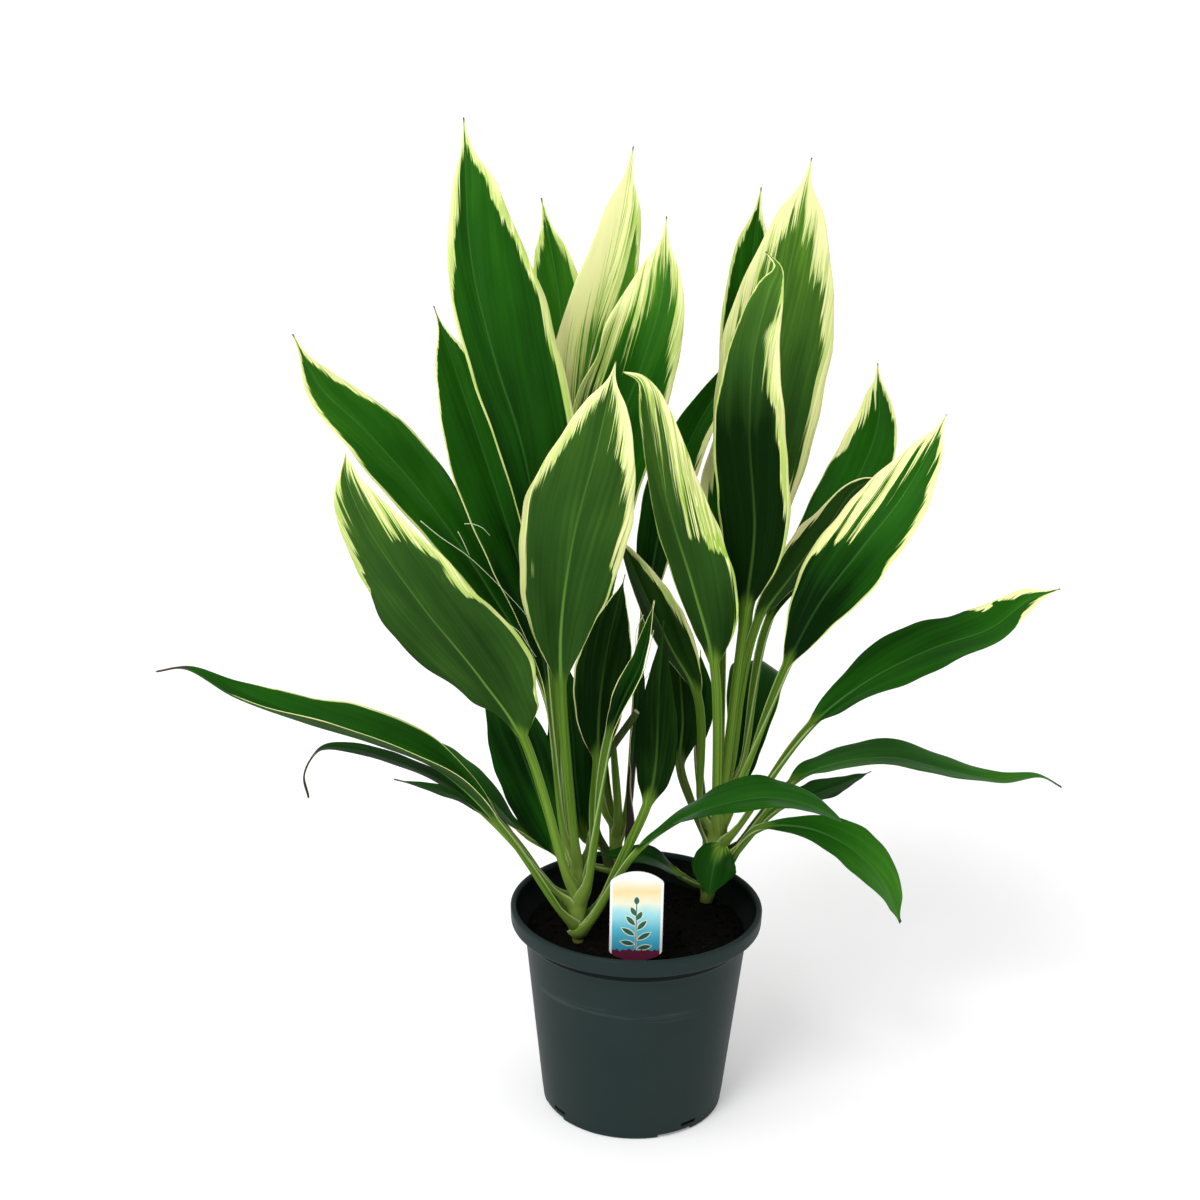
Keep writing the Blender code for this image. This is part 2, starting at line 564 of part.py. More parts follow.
def section(leaf, place, side, normal, share):
    """The leaf's upper side across one row, from its left margin to its right one."""
    half = half_width(leaf, share)
    fold = fold_angle(leaf, share)
    flattened = smooth_step(share / BLADE_OPENS)
    row = []
    for column in range(LEAF_COLUMNS + 1):
        across = 2 * column / LEAF_COLUMNS - 1
        rise = math.sqrt(across * across + MIDRIB_ROUNDING) - math.sqrt(MIDRIB_ROUNDING)
        lift = rise * half * math.sin(fold)
        shift = WAVE_SHIFT if across > 0 else 0
        ripple = math.sin(2 * math.pi * (WAVES * share + leaf.node + shift))
        lift += leaf.wave * half * abs(across) ** 3 * ripple * flattened
        lean = 1 + leaf.skew * math.copysign(1, across) * flattened
        row.append(place + side * (across * half * lean * math.cos(fold)) + normal * lift)
    return row


def make_leaf(name, leaf, parts, finish):
    """Lofts a leaf's upper side and thickens it downwards: its sections are all unlike."""
    line, shares, outward = midrib(leaf)
    along = tangents(line)
    normals = upward_normals(line, along, outward)
    roll = face_roll(leaf, along, normals, shares)
    points = []
    for place, tangent, normal, share in zip(line, along, normals, shares):
        turned_normal = Quaternion(tangent, roll * smooth_step(share + 1)) @ normal
        points += section(leaf, place, tangent.cross(turned_normal), turned_normal, share)
    width = LEAF_COLUMNS + 1
    faces = []
    for row in range(len(line) - 1):
        for column in range(LEAF_COLUMNS):
            corner = row * width + column
            faces.append((corner, corner + 1, corner + width + 1, corner + width))
    mesh = bpy.data.meshes.new(name)
    mesh.from_pydata(points, [], faces)
    blade = new_object(name, mesh, parts, finish)
    stout = blade.vertex_groups.new(name="stout")
    for row, share in enumerate(shares):
        weight = 1 - smooth_step(share / BLADE_THINS)
        stout.add(list(range(row * width, row * width + width)), weight, "REPLACE")
    mesh.shade_smooth()
    body = blade.modifiers.new("Body", "SOLIDIFY")
    body.thickness = PETIOLE_THICKNESS
    body.offset = -1
    body.vertex_group = stout.name
    body.thickness_vertex_group = BLADE_THICKNESS / PETIOLE_THICKNESS


def make_cut_stalk(parts, finish):
    curve = bpy.data.curves.new("cut_stalk", "CURVE")
    curve.dimensions = "3D"
    curve.bevel_depth = STALK_RADIUS
    curve.bevel_resolution = 2
    curve.use_fill_caps = True
    spline = curve.splines.new("POLY")
    knots = [Vector(place) * MM for place in STALK_ROUTE]
    knots = [knots[0] * 2 - knots[1]] + knots + [knots[-1] * 2 - knots[-2]]
    places = []
    for segment in range(len(STALK_ROUTE) - 1):
        span = knots[segment:segment + 4]
        places += [spline_point(*span, i / STALK_STEPS) for i in range(STALK_STEPS)]
    places.append(knots[-2])
    spline.points.add(len(places) - 1)
    for point, place in zip(spline.points, places):
        point.co = (*place, 1)
    new_object("cut_stalk", curve, parts, finish)


def main():
    clear_scene()
    parts = new_collection("potted_cordyline")
    cutters = new_collection("cutters")
    make_pot(parts, cutters)
    make_soil(parts, cutters)
    make_label(parts)
    cane_finish = material("green cane", (0.30, 0.36, 0.08), 0.5)
    for name in CANES:
        make_cane(name, parts, cane_finish)
    leaf_finish = material("leaf", (0.03, 0.14, 0.02), 0.35)
    for name, leaf in LEAVES.items():
        make_leaf(name, leaf, parts, leaf_finish)
    make_cut_stalk(parts, material("old stalk", (0.06, 0.06, 0.03), 0.6))


main()
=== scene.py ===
"""Potted cordyline: variegated leaves on three canes, in a dark nursery pot with a plant label."""
import math
import random
from dataclasses import dataclass

import bpy
from mathutils import Matrix, Quaternion, Vector, noise


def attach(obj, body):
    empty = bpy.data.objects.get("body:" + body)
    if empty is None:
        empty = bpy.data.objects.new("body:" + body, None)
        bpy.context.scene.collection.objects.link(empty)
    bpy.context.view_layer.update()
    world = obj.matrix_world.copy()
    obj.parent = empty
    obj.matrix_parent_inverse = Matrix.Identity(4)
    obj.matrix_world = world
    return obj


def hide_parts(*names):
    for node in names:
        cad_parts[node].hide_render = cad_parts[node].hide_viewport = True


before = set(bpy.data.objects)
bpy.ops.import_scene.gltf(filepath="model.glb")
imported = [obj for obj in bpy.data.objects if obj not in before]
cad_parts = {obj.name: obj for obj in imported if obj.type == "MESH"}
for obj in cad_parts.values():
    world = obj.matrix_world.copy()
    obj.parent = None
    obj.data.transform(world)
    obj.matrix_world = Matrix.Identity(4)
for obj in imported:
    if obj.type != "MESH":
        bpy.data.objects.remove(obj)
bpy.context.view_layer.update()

MM = 0.001


# Finishes

SCUFF_HEIGHT = 98 * MM             # the pot's wall is scuffed in a band about this height

# The label's print, in mm
LABEL_SIDE = -1                    # x of the label's middle
PRINT_HALF = 15.6                  # half its width
PRINT_TOP = 190
SKY_FOOT = 134
SKY_HEIGHT = 60
GROUND_TOP = 138.5
SPRIG_TOP = 175
# The sprig's leaves, as the height of the foot, half the length, and the rise in degrees
SPRIG_LEAVES = ((142, 5.6, 12), (148, 6.0, 32), (155, 5.4, 48), (162, 4.2, 62), (170, 3.4, 88))


def arithmetic(operation):
    """An operator on values and its reflected form, each of which adds a Math node."""
    def forward(self, other):
        return self.maths(operation, self, other)

    def reflected(self, other):
        return self.maths(operation, other, self)

    return forward, reflected


class Value:
    """A number or colour in a node tree."""

    __add__, __radd__ = arithmetic("ADD")
    __sub__, __rsub__ = arithmetic("SUBTRACT")
    __mul__, __rmul__ = arithmetic("MULTIPLY")
    __truediv__, __rtruediv__ = arithmetic("DIVIDE")

    def __init__(self, nodes, output):
        self.nodes = nodes
        self.output = output

    def maths(self, operation, *values):
        return self.nodes.node("ShaderNodeMath", {"operation": operation}, dict(enumerate(values)))

    def size(self):
        return self.maths("ABSOLUTE", self)

    def above(self, limit):
        return self.maths("GREATER_THAN", self, limit)

    def most(self, other):
        return self.maths("MAXIMUM", self, other)

    def least(self, other):
        return self.maths("MINIMUM", self, other)

    def step(self, low, high):
        """0 below low and 1 above high, with a soft change between."""
        return self.nodes.node("ShaderNodeMapRange", {"interpolation_type": "SMOOTHSTEP"},
                               {"Value": self, "From Min": low, "From Max": high})


class Nodes:
    """A node tree, and the one way in which a node is added to it."""

    def __init__(self, tree):
        self.tree = tree

    def feed(self, socket, value):
        if isinstance(value, Value):
            self.tree.links.new(value.output, socket)
        elif socket.type == "RGBA":
            socket.default_value = (*value, 1)
        else:
            socket.default_value = value

    def node(self, kind, settings=None, inputs=None, output=0):
        made = self.tree.nodes.new(kind)
        for setting, value in (settings or {}).items():
            if setting == "stops":
                ramp = made.color_ramp
                while len(ramp.elements) < len(value):
                    ramp.elements.new(1)
                for element, (place, colour) in zip(ramp.elements, value):
                    element.position = place
                    element.color = (*colour, 1)
            else:
                setattr(made, setting, value)
        for socket, value in (inputs or {}).items():
            self.feed(made.inputs[socket], value)
        return Value(self, made.outputs[output])

    def coordinates(self, kind):
        return self.node("ShaderNodeTexCoord", None, None, kind)

    def part(self, vector, axis):
        """One of a vector's numbers: 0 is x, 1 is y and 2 is z."""
        return self.node("ShaderNodeSeparateXYZ", None, {0: vector}, axis)


class Finish(Nodes):
    """One material: a Principled shader and the nodes that feed it."""

    def __init__(self, name, **constants):
        self.material = bpy.data.materials.new(name)
        self.material.use_nodes = True
        super().__init__(self.material.node_tree)
        self.shader = self.tree.nodes["Principled BSDF"]
        self.set(**constants)

    def set(self, **values):
        for name, value in values.items():
            self.feed(self.shader.inputs[name.replace("_", " ")], value)

    def mix(self, share, first, second):
        """Mixes two colours."""
        return self.node("ShaderNodeMix", {"data_type": "RGBA"}, {0: share, 6: first, 7: second}, 2)

    def attribute(self, name):
        return self.node("ShaderNodeAttribute", {"attribute_name": name}, None, "Fac")

    def place(self):
        return self.coordinates("Object")

    def vector(self, x, y, z):
        return self.node("ShaderNodeCombineXYZ", None, {0: x, 1: y, 2: z})

    def noise(self, vector, scale, detail=2.0, roughness=0.5):
        return self.node("ShaderNodeTexNoise", None, {"Vector": vector, "Scale": scale, "Detail": detail,
                                                      "Roughness": roughness}, "Fac")

    def strands(self, across, up, detail=2.0, roughness=0.5):
        """Noise by the object's own place, with one scale sideways and another upwards."""
        scaled = self.node("ShaderNodeMapping", None, {"Vector": self.place(), "Scale": (across, across, up)})
        return self.noise(scaled, 1.0, detail, roughness)

    def streaks(self, across, along, offset, detail=2.0, roughness=0.5):
        """Noise drawn out along a leaf's veins, by its scale per mm across and along them."""
        drawn = self.vector(self.attribute("vein") * across, self.attribute("run") * along, offset)
        return self.noise(drawn, 1.0, detail, roughness)

    def bump(self, height, strength, distance):
        """Raises the surface by a height, which is distance metres where it is 1."""
        self.set(Normal=self.node("ShaderNodeBump", None, {"Height": height, "Strength": strength,
                                                           "Distance": distance}))


def leaf_greens(finish, stops, sheen):
    """Mottled green along a ramp, by the leaf's tone, lightened towards the tip as painted light, with long
    soft bands of painted sheen.
    """
    seed = finish.attribute("seed")
    tone = finish.attribute("tone")
    broad = finish.streaks(0.05, 0.012, seed)
    bands = finish.streaks(0.45, 0.005, seed + 3.1)
    # Painted sheen: long soft bands of paler blue-green, stronger on lighter leaves.
    painted_sheen_mask = finish.streaks(0.09, 0.007, seed + 8.3, 1.0)
    amount = tone + (broad - 0.5) * 0.7 + (bands - 0.5) * 0.34
    # Painted light: every blade lightens a little towards its tip.
    amount = amount + finish.attribute("along").step(0.3, 1.0) * 0.16
    green = finish.node("ShaderNodeValToRGB", {"stops": stops}, {0: amount})
    return finish.mix(painted_sheen_mask.step(0.48, 0.72) * tone.step(-0.1, 0.6) * 0.5, green, sheen)


def cream_level(finish):
    """Above 0 where the blade is cream, whose long fingers run along the veins."""
    seed = finish.attribute("seed")
    fine = finish.streaks(0.85, 0.004, seed, 2.0, 0.6)
    wide = finish.streaks(0.26, 0.006, seed + 5.7, 1.0)
    fray = finish.streaks(1.6, 0.07, seed + 2.9, 1.0)
    spread = (fine - 0.5) * 1.7 + (wide - 0.5) * 1.5 + (fray - 0.5) * 0.35
    return finish.attribute("cream") + spread * finish.attribute("ragged")


def cream_over(finish, green, lime, near, far):
    """Green that turns lime and then cream: near is the cream by the stalk, and far by the tip."""
    along = finish.attribute("along")
    reach = finish.attribute("lime")
    level = cream_level(finish)
    stain = finish.streaks(0.7, 0.010, finish.attribute("seed") + 11.0)
    soft = 0.015 + reach * finish.attribute("ragged") * 0.25
    turning = ((level + soft) / soft).step(0.0, 1.0) * (0.45 + reach * 0.45)
    colour = finish.mix(turning, green, finish.mix(stain.step(0.35, 0.65), lime, far))
    # Cream by the stalk is darker than by the tip: partly its own colour, partly painted shade on the lower
    # blade.
    pale = finish.mix(along.step(0.25, 0.9), near, far)
    streaked = (stain + reach * 0.22).step(0.52, 0.72) * (0.35 + reach * 0.45) * (1 - level.step(0.05, 0.4))
    pale = finish.mix(streaked, pale, lime)
    beige = finish.streaks(0.12, 0.02, 31.0, 1.0).step(0.5, 0.7) * 0.45 * (1 - along.step(0.6, 0.9))
    pale = finish.mix(beige, pale, (0.76, 0.64, 0.38))
    return finish.mix(level.step(-0.008, 0.016), colour, pale)


def stalk_colour(finish):
    """Yellow-green of stalks and leaf bases, with pale margins and a foot that darkens near the soil."""
    across = finish.attribute("across")
    along = finish.attribute("along")
    seed = finish.attribute("seed")
    strands = finish.noise(finish.vector(across * 6.5, along * 0.9, seed), 1.0)
    body = finish.mix(strands.step(0.3, 0.7), (0.066, 0.142, 0.011), (0.165, 0.295, 0.036))
    shade = finish.noise(finish.vector(seed * 1.7, 0.5, 0.5), 1.0, 0.0)
    body = finish.mix(shade.step(0.42, 0.58) * 0.4, body, (0.045, 0.115, 0.010))
    body = finish.mix((-0.55 - along).step(0.0, 0.6) * 0.65, body, (0.26, 0.37, 0.07))
    body = finish.mix(finish.attribute("dusk"), body, (0.045, 0.030, 0.030))
    body = finish.mix(across.size().step(0.80, 0.97) * 0.6, body, (0.50, 0.60, 0.28))
    # Darker towards the foot, near the soil.
    darkened_foot = 1 - finish.part(finish.place(), 2).step(127 * MM, 135 * MM)
    return finish.mix(darkened_foot * 0.8, body, (0.055, 0.045, 0.020))


def leaf_colour(finish, blade, rib_colour, rib_share):
    """Adds the midrib, the stalk and the dry tip to the blade's colour."""
    rib_width = 1.5 - finish.attribute("along") * 1.1
    rib = (1 - (finish.attribute("depth") / rib_width).step(0.2, 1.0)) * rib_share
    rib = rib * (0.25 + finish.attribute("tone").step(-0.1, 0.35) * 0.75)
    colour = finish.mix(rib, blade, rib_colour)
    colour = finish.mix(finish.attribute("stalk"), colour, stalk_colour(finish))
    wither = finish.streaks(0.8, 0.1, 7.0)
    dead = finish.mix(wither.step(0.35, 0.65), (0.090, 0.062, 0.028), (0.040, 0.038, 0.036))
    return finish.mix((finish.attribute("dry") + (wither - 0.5) * 0.6).step(0.15, 0.7), colour, dead)


def make_leaf_upper():
    finish = Finish("leaf upper side", IOR=1.45, Specular_IOR_Level=0.04)
    along = finish.attribute("along")
    # The darkest stops are near black: painted shade for the lowest tones.
    green = leaf_greens(finish, [(0.0, (0.002, 0.016, 0.0015)), (0.45, (0.013, 0.095, 0.004)),
                                 (0.75, (0.038, 0.175, 0.010)), (1.0, (0.125, 0.320, 0.024))],
                        (0.026, 0.130, 0.017))
    lines = finish.streaks(1.6, 0.004, 2.0, 1.0)
    lined = (lines - 0.5).most(0.0) * (0.1 + finish.attribute("tone") * 0.5)
    green = finish.mix(lined, green, (0.045, 0.18, 0.022))
    blade = cream_over(finish, green, (0.36, 0.60, 0.06), (0.88, 0.91, 0.37), (0.98, 0.99, 0.46))
    colour = leaf_colour(finish, blade, (0.075, 0.23, 0.045), 0.7 - along.step(0.0, 0.5) * 0.35)
    finish.set(Base_Color=colour, Roughness=0.32 + lines * 0.14)
    finish.bump(lines, 0.30, 0.4 * MM)
    return finish.material


def make_leaf_under():
    finish = Finish("leaf underside", IOR=1.4, Specular_IOR_Level=0.03)
    along = finish.attribute("along")
    # The darkest stops are near black: painted shade for the lowest tones.
    green = leaf_greens(finish, [(0.0, (0.003, 0.016, 0.0015)), (0.45, (0.026, 0.082, 0.011)),
                                 (0.75, (0.062, 0.160, 0.018)), (1.0, (0.135, 0.330, 0.026))],
                        (0.027, 0.085, 0.015))
    lines = finish.streaks(1.4, 0.004, 2.0, 1.0)
    green = finish.mix((lines - 0.5).most(0.0) * 0.2, green, (0.055, 0.14, 0.03))
    blade = cream_over(finish, green, (0.34, 0.56, 0.06), (0.78, 0.76, 0.36), (0.96, 0.97, 0.46))
    colour = leaf_colour(finish, blade, (0.15, 0.31, 0.05), 0.9 - along.step(0.05, 0.6) * 0.65)
    finish.set(Base_Color=colour, Roughness=0.60 + lines * 0.12)
    finish.bump(lines, 0.25, 0.3 * MM)
    return finish.material


def make_stem_finish():
    finish = Finish("green stem", Roughness=0.6, Specular_IOR_Level=0.05)
    strands = finish.strands(420, 40)
    body = finish.mix(strands, (0.12, 0.17, 0.03), (0.36, 0.40, 0.13))
    # Darker towards the foot, near the soil.
    darkened_foot = 1 - finish.part(finish.place(), 2).step(126 * MM, 150 * MM)
    finish.set(Base_Color=finish.mix(darkened_foot * 0.95, body, (0.030, 0.026, 0.012)))
    finish.bump(strands, 0.4, 0.6 * MM)
    return finish.material


def make_old_stalk_finish():
    finish = Finish("old leaf stalk", Roughness=0.6, Specular_IOR_Level=0.05)
    strands = finish.strands(500, 30)
    finish.set(Base_Color=finish.mix(strands, (0.034, 0.054, 0.014), (0.085, 0.120, 0.034)))
    finish.bump(strands, 0.4, 0.6 * MM)
    return finish.material


def make_cut_finish():
    finish = Finish("pale cut end", Roughness=0.8, Specular_IOR_Level=0.05)
    fibres = finish.noise(finish.place(), 1500.0)
    finish.set(Base_Color=finish.mix(fibres, (0.32, 0.34, 0.20), (0.62, 0.64, 0.44)))
    return finish.material


def make_thread_finish():
    finish = Finish("dry leaf fibre", Roughness=0.7, Specular_IOR_Level=0.05)
    fibres = finish.noise(finish.place(), 300.0)
    finish.set(Base_Color=finish.mix(fibres, (0.58, 0.64, 0.40), (0.86, 0.90, 0.66)))
    return finish.material


def make_pot_plastic():
    """Dark grey-green plastic, cloudy and finely grained, with faint level scuffs."""
    finish = Finish("pot plastic", Specular_IOR_Level=0.07)
    place = finish.place()
    cloudy = finish.noise(place, 18.0, 3.0)
    grain = finish.noise(place, 900.0)
    scuffs = finish.strands(9, 160, 3.0, 0.7)
    band = (finish.part(place, 2) - SCUFF_HEIGHT).size().step(0.0, 22 * MM)
    worn = (1 - band) * scuffs.step(0.56, 0.78) * 0.5
    colour = finish.mix(cloudy, (0.0125, 0.0235, 0.0230), (0.0185, 0.0315, 0.0300))
    finish.set(Base_Color=finish.mix(worn, colour, (0.060, 0.075, 0.075)))
    finish.set(Roughness=0.40 + cloudy * 0.14 + worn * 0.2)
    finish.bump(grain + scuffs * 0.5, 0.12, 0.4 * MM)
    return finish.material


def make_pot_inside_shade():
    """The pot's inner face, painted near black for the shade that fills the pot, with a faint mottle."""
    finish = Finish("pot inside painted shade", Specular_IOR_Level=0.04)
    inside_mottle = finish.noise(finish.place(), 40.0, 3.0)
    # Painted shade: a near-black base colour stands in for the shade inside the pot.
    finish.set(Base_Color=finish.mix(inside_mottle, (0.0030, 0.0045, 0.0045), (0.0090, 0.0125, 0.0120)))
    finish.set(Roughness=0.65 + inside_mottle * 0.2)
    finish.bump(inside_mottle, 0.3, 0.6 * MM)
    return finish.material


def make_soil_finish():
    finish = Finish("potting soil", Roughness=0.95, Specular_IOR_Level=0.03)
    place = finish.place()
    coarse = finish.noise(place, 140.0, 4.0, 0.7)
    fleck = finish.noise(place, 420.0)
    colour = finish.mix(coarse, (0.0010, 0.0010, 0.0008), (0.0060, 0.0055, 0.0040))
    finish.set(Base_Color=finish.mix(fleck.step(0.70, 0.80), colour, (0.026, 0.021, 0.015)))
    finish.bump(coarse + fleck * 0.4, 0.9, 3 * MM)
    return finish.material


def make_crumb_finish():
    finish = Finish("soil crumbs", Roughness=0.9, Specular_IOR_Level=0.03)
    place = finish.place()
    shade = finish.noise(place, 60.0).step(0.35, 0.7)
    finish.set(Base_Color=finish.mix(shade, (0.0020, 0.0018, 0.0014), (0.0120, 0.0095, 0.0070)))
    finish.bump(finish.noise(place, 900.0, 3.0), 0.6, 1 * MM)
    return finish.material


def sprig_shape(out, height, staggered):
    """Above 0 inside a plain sprig: an upright stalk with pairs of leaves and one at its top."""
    shape = (1.3 - out * 2).least(SPRIG_TOP - height)
    for foot, reach, tilt in SPRIG_LEAVES:
        turn = math.radians(tilt)
        lift = (height if tilt > 80 else staggered) - foot
        along = (out * math.cos(turn) + lift * math.sin(turn)) / reach - 1
        across = (lift * math.cos(turn) - out * math.sin(turn)).size()
        shape = shape.most(2.3 - along * along * 2.3 - across)
    return shape


def make_label_finish():
    """White card whose print is a warm sky over blue, a plain sprig and a dark ground."""
    finish = Finish("label print", IOR=1.5, Specular_IOR_Level=0.3)
    place = finish.place()
    side = finish.part(place, 0) / MM - LABEL_SIDE
    height = finish.part(place, 2) / MM
    out = side.size()
    cloud = finish.noise(place, 70.0, 3.0)
    sky = finish.node("ShaderNodeValToRGB", {"stops": [
        (0.00, (0.03, 0.30, 0.52)), (0.30, (0.10, 0.56, 0.72)), (0.52, (0.42, 0.82, 0.88)),
        (0.62, (0.88, 0.90, 0.70)), (0.76, (0.93, 0.72, 0.36)), (0.86, (0.93, 0.84, 0.66)),
        (0.93, (0.94, 0.94, 0.94))]},
        {0: (height + (cloud - 0.5) * 8 - SKY_FOOT) / SKY_HEIGHT})
    sprig = sprig_shape(out, height, height + side.above(0) * 3.0)
    colour = finish.mix(sprig.step(-0.1, 0.4), sky, (0.92, 0.90, 0.72))
    colour = finish.mix(sprig.step(0.5, 0.9), colour, (0.022, 0.13, 0.085))
    ground = GROUND_TOP + (finish.noise(finish.vector(side * 0.35, 0.0, 4.0), 1.0) - 0.5) * 7
    colour = finish.mix((ground - height).step(0.0, 0.6), colour, (0.13, 0.018, 0.045))
    edge = (out - PRINT_HALF).most(height - PRINT_TOP + out * out * 0.02).step(-0.2, 0.2)
    finish.set(Base_Color=finish.mix(edge, colour, (0.93, 0.94, 0.94)), Roughness=0.34 + cloud * 0.1)
    finish.bump(finish.noise(place, 1400.0), 0.05, 0.3 * MM)
    return finish.material


def make_floor_finish():
    finish = Finish("studio floor", Roughness=0.9, Specular_IOR_Level=0.0, Emission_Strength=FLOOR_GLOW)
    cloud = finish.noise(finish.place(), 2.0)
    finish.set(Base_Color=finish.mix(cloud, (0.89, 0.89, 0.89), (0.91, 0.91, 0.91)), Emission_Color=(1, 1, 1))
    return finish.material


# Meshes

def new_piece(name, points, faces, finishes, replaced=None, kinds=None):
    """A smooth-shaded mesh that rides with the plant; a face's kind is its place in finishes."""
    mesh = bpy.data.meshes.new(name)
    mesh.from_pydata(points, [], faces)
    for finish in finishes:
        mesh.materials.append(finish)
    if kinds:
        mesh.polygons.foreach_set("material_index", kinds)
    mesh.shade_smooth()
    piece = bpy.data.objects.new(name, mesh)
    bpy.context.scene.collection.objects.link(piece)
    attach(piece, "root")
    if replaced:
        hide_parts(replaced)
    return piece


def smooth(share):
    share = min(max(share, 0.0), 1.0)
    return share * share * (3 - 2 * share)


def blend(first, second, share):
    return first + (second - first) * share


def profile_at(profile, share):
    """Reads a list of (share, amount), with soft changes between its entries."""
    for (low, first), (high, second) in zip(profile, profile[1:]):
        if share <= high:
            return blend(first, second, smooth((share - low) / (high - low)))
    return profile[-1][1]


def spline_point(before, start, end, after, share):
    """A point between start and end on a centripetal Catmull-Rom spline."""
    first = max((start - before).length, 1e-6) ** 0.5
    middle = max((end - start).length, 1e-6) ** 0.5
    last = max((after - end).length, 1e-6) ** 0.5
    across = (end - start) / middle
    leaving = ((start - before) / first - (end - before) / (first + middle) + across) * middle
    arriving = (across - (after - start) / (middle + last) + (after - end) / last) * middle
    square, cube = share * share, share ** 3
    return (start * (2 * cube - 3 * square + 1) + leaving * (cube - 2 * square + share)
            + end * (3 * square - 2 * cube) + arriving * (cube - square))


def smooth_route(knots, steps):
    """A dense line through the knots, with the place of each knot in it."""
    knots = [knots[0] * 2 - knots[1]] + list(knots) + [knots[-1] * 2 - knots[-2]]
    line, marks = [], []
    for i in range(1, len(knots) - 2):
        marks.append(len(line))
        line += [spline_point(*knots[i - 1:i + 3], k / steps) for k in range(steps)]
    marks.append(len(line))
    line.append(knots[-2])
    return line, marks


def resampled(line, shares):
    """Points at shares of a line's length, and that length."""
    lengths = [0.0]
    for start, end in zip(line, line[1:]):
        lengths.append(lengths[-1] + (end - start).length)
    found, i = [], 0
    for share in shares:
        wanted = share * lengths[-1]
        while i < len(lengths) - 2 and lengths[i + 1] < wanted:
            i += 1
        span = max(lengths[i + 1] - lengths[i], 1e-9)
        found.append(line[i].lerp(line[i + 1], min((wanted - lengths[i]) / span, 1.0)))
    return found, lengths[-1]


def tangents(line):
    """Direction of a line at each of its points."""
    ends = line[:1] + line + line[-1:]
    return [(after - before).normalized() for before, after in zip(ends, ends[2:])]


def ring_points(radius, height, steps):
    angles = [2 * math.pi * i / steps for i in range(steps)]
    return [(radius * math.cos(angle), radius * math.sin(angle), height) for angle in angles]


def turned_faces(rings, steps, first=0):
    """Faces between rings of points that run from the top down the outside."""
    faces = []
    for ring in range(first, first + (rings - 1) * steps, steps):
        for i in range(steps):
            j = (i + 1) % steps
            faces.append((ring + i, ring + steps + i, ring + steps + j, ring + j))
    return faces


def tube_faces(rings, sides, first=0):
    """Faces of a tube along a line: its sides, its start and then its end."""
    faces = []
    for ring in range(first, first + (rings - 1) * sides, sides):
        for i in range(sides):
            j = (i + 1) % sides
            faces.append((ring + i, ring + j, ring + sides + j, ring + sides + i))
    last = first + (rings - 1) * sides
    faces.append(tuple(first + i for i in reversed(range(sides))))
    faces.append(tuple(last + i for i in range(sides)))
    return faces


# The plant

SHEATH_ROWS = 8
PETIOLE_ROWS = 14
BLADE_ROWS = 72
HALF_COLUMNS = (0, 0.035, 0.08, 0.16, 0.28, 0.42, 0.56, 0.70, 0.82, 0.92, 1)
SPLINE_STEPS = 24                  # steps between two knots of a leaf's line

SHEATH_TURN = 140                  # degrees that a leaf base wraps around its stem, each way
NECK_TURN = 95                     # and at its top, where the stalk begins
PETIOLE_TURN = 78                  # degrees that the stalk's channel curls up, each way
NECK_SHARE = 0.55                  # width of a leaf base at its top, as a share of its foot's
FOOT_TAPER = 26 * MM               # height over which a plant widens from its narrow foot
FOOT_SHARE = 0.42                  # width of that foot, as a share of the full width
INNER_BASE = 0.62                  # radius of the innermost leaf base, as a share of the stem's
BASE_GAP = 0.42 * MM               # each leaf base lies this far outside the one above it
BASE_DEPTH = 26 * MM               # a leaf base starts this far below the place where it leaves the cane
ELBOW = 14 * MM                    # length over which the leaf turns outwards there
STALK_FADE = 16 * MM               # length over which the stalk's colour gives way to the blade's
BULGE = 10                         # degrees that each half arches between the midrib and the margin
VEIN_LEAN = 0.07                   # how much the veins lean outwards, in mm for each mm of the blade

# Shares of the stalk over which it takes its own form from the leaf base's
STALK_NARROWS = 0.22
STALK_OPENS = 0.3
STALK_THICKENS = 0.35

# Shares of the blade
BLADE_OPENS = 0.14                 # the stalk's channel has opened out here
WAVES_GROW = 0.15                  # the margins ripple in full from here
LOOK_SHARE = 0.45                  # the blade looks the way it should here
TIP_STARTS = 0.88                  # the tip is drawn in from here
TIP_LENGTH = 0.09

# Columns, from 0 at the midrib to 1 at the margin
FOLD_COLUMN = 0.10                 # the fold is full from here
ARCH_COLUMN = 0.55                 # the arch is highest here
CURL_COLUMN = 0.62                 # a margin curls over from here

# Thickness in mm, at the middle and at the margin
SHEATH_THICK = (0.9, 0.3)
STALK_THICK = (2.3, 0.55)
BLADE_THICK = (0.5, 0.32)
RIB_THICK = 1.9                    # what the midrib adds at the blade's foot

# How far the cream reaches in, as (share of the blade, reach)
PLAIN = ((0, 0.012), (0.8, 0.02), (0.93, 0.10), (1, 0.6))
THIN = ((0, 0.04), (0.8, 0.05), (0.93, 0.15), (1, 0.7))
BARE = ((0, -0.02), (1, -0.02))
FADING = ((0, 0.035), (0.7, 0.04), (0.8, -0.02), (1, -0.02))


class Cane:
    """A cane from the soil to its top, in mm; leaf bases clasp the stem inside it."""

    def __init__(self, foot, top, stem_radius):
        self.foot = Vector(foot) * MM
        self.top = Vector(top) * MM
        self.stem_radius = stem_radius * MM
        self.length = (self.top - self.foot).length


CANES = {
    "left": Cane((-39, -22, 128), (-40, -12, 188), 6),
    "right": Cane((50, 40, 128), (62, 42, 222), 5),
    "rear": Cane((-12, 52, 128), (-16, 56, 188), 5),
}


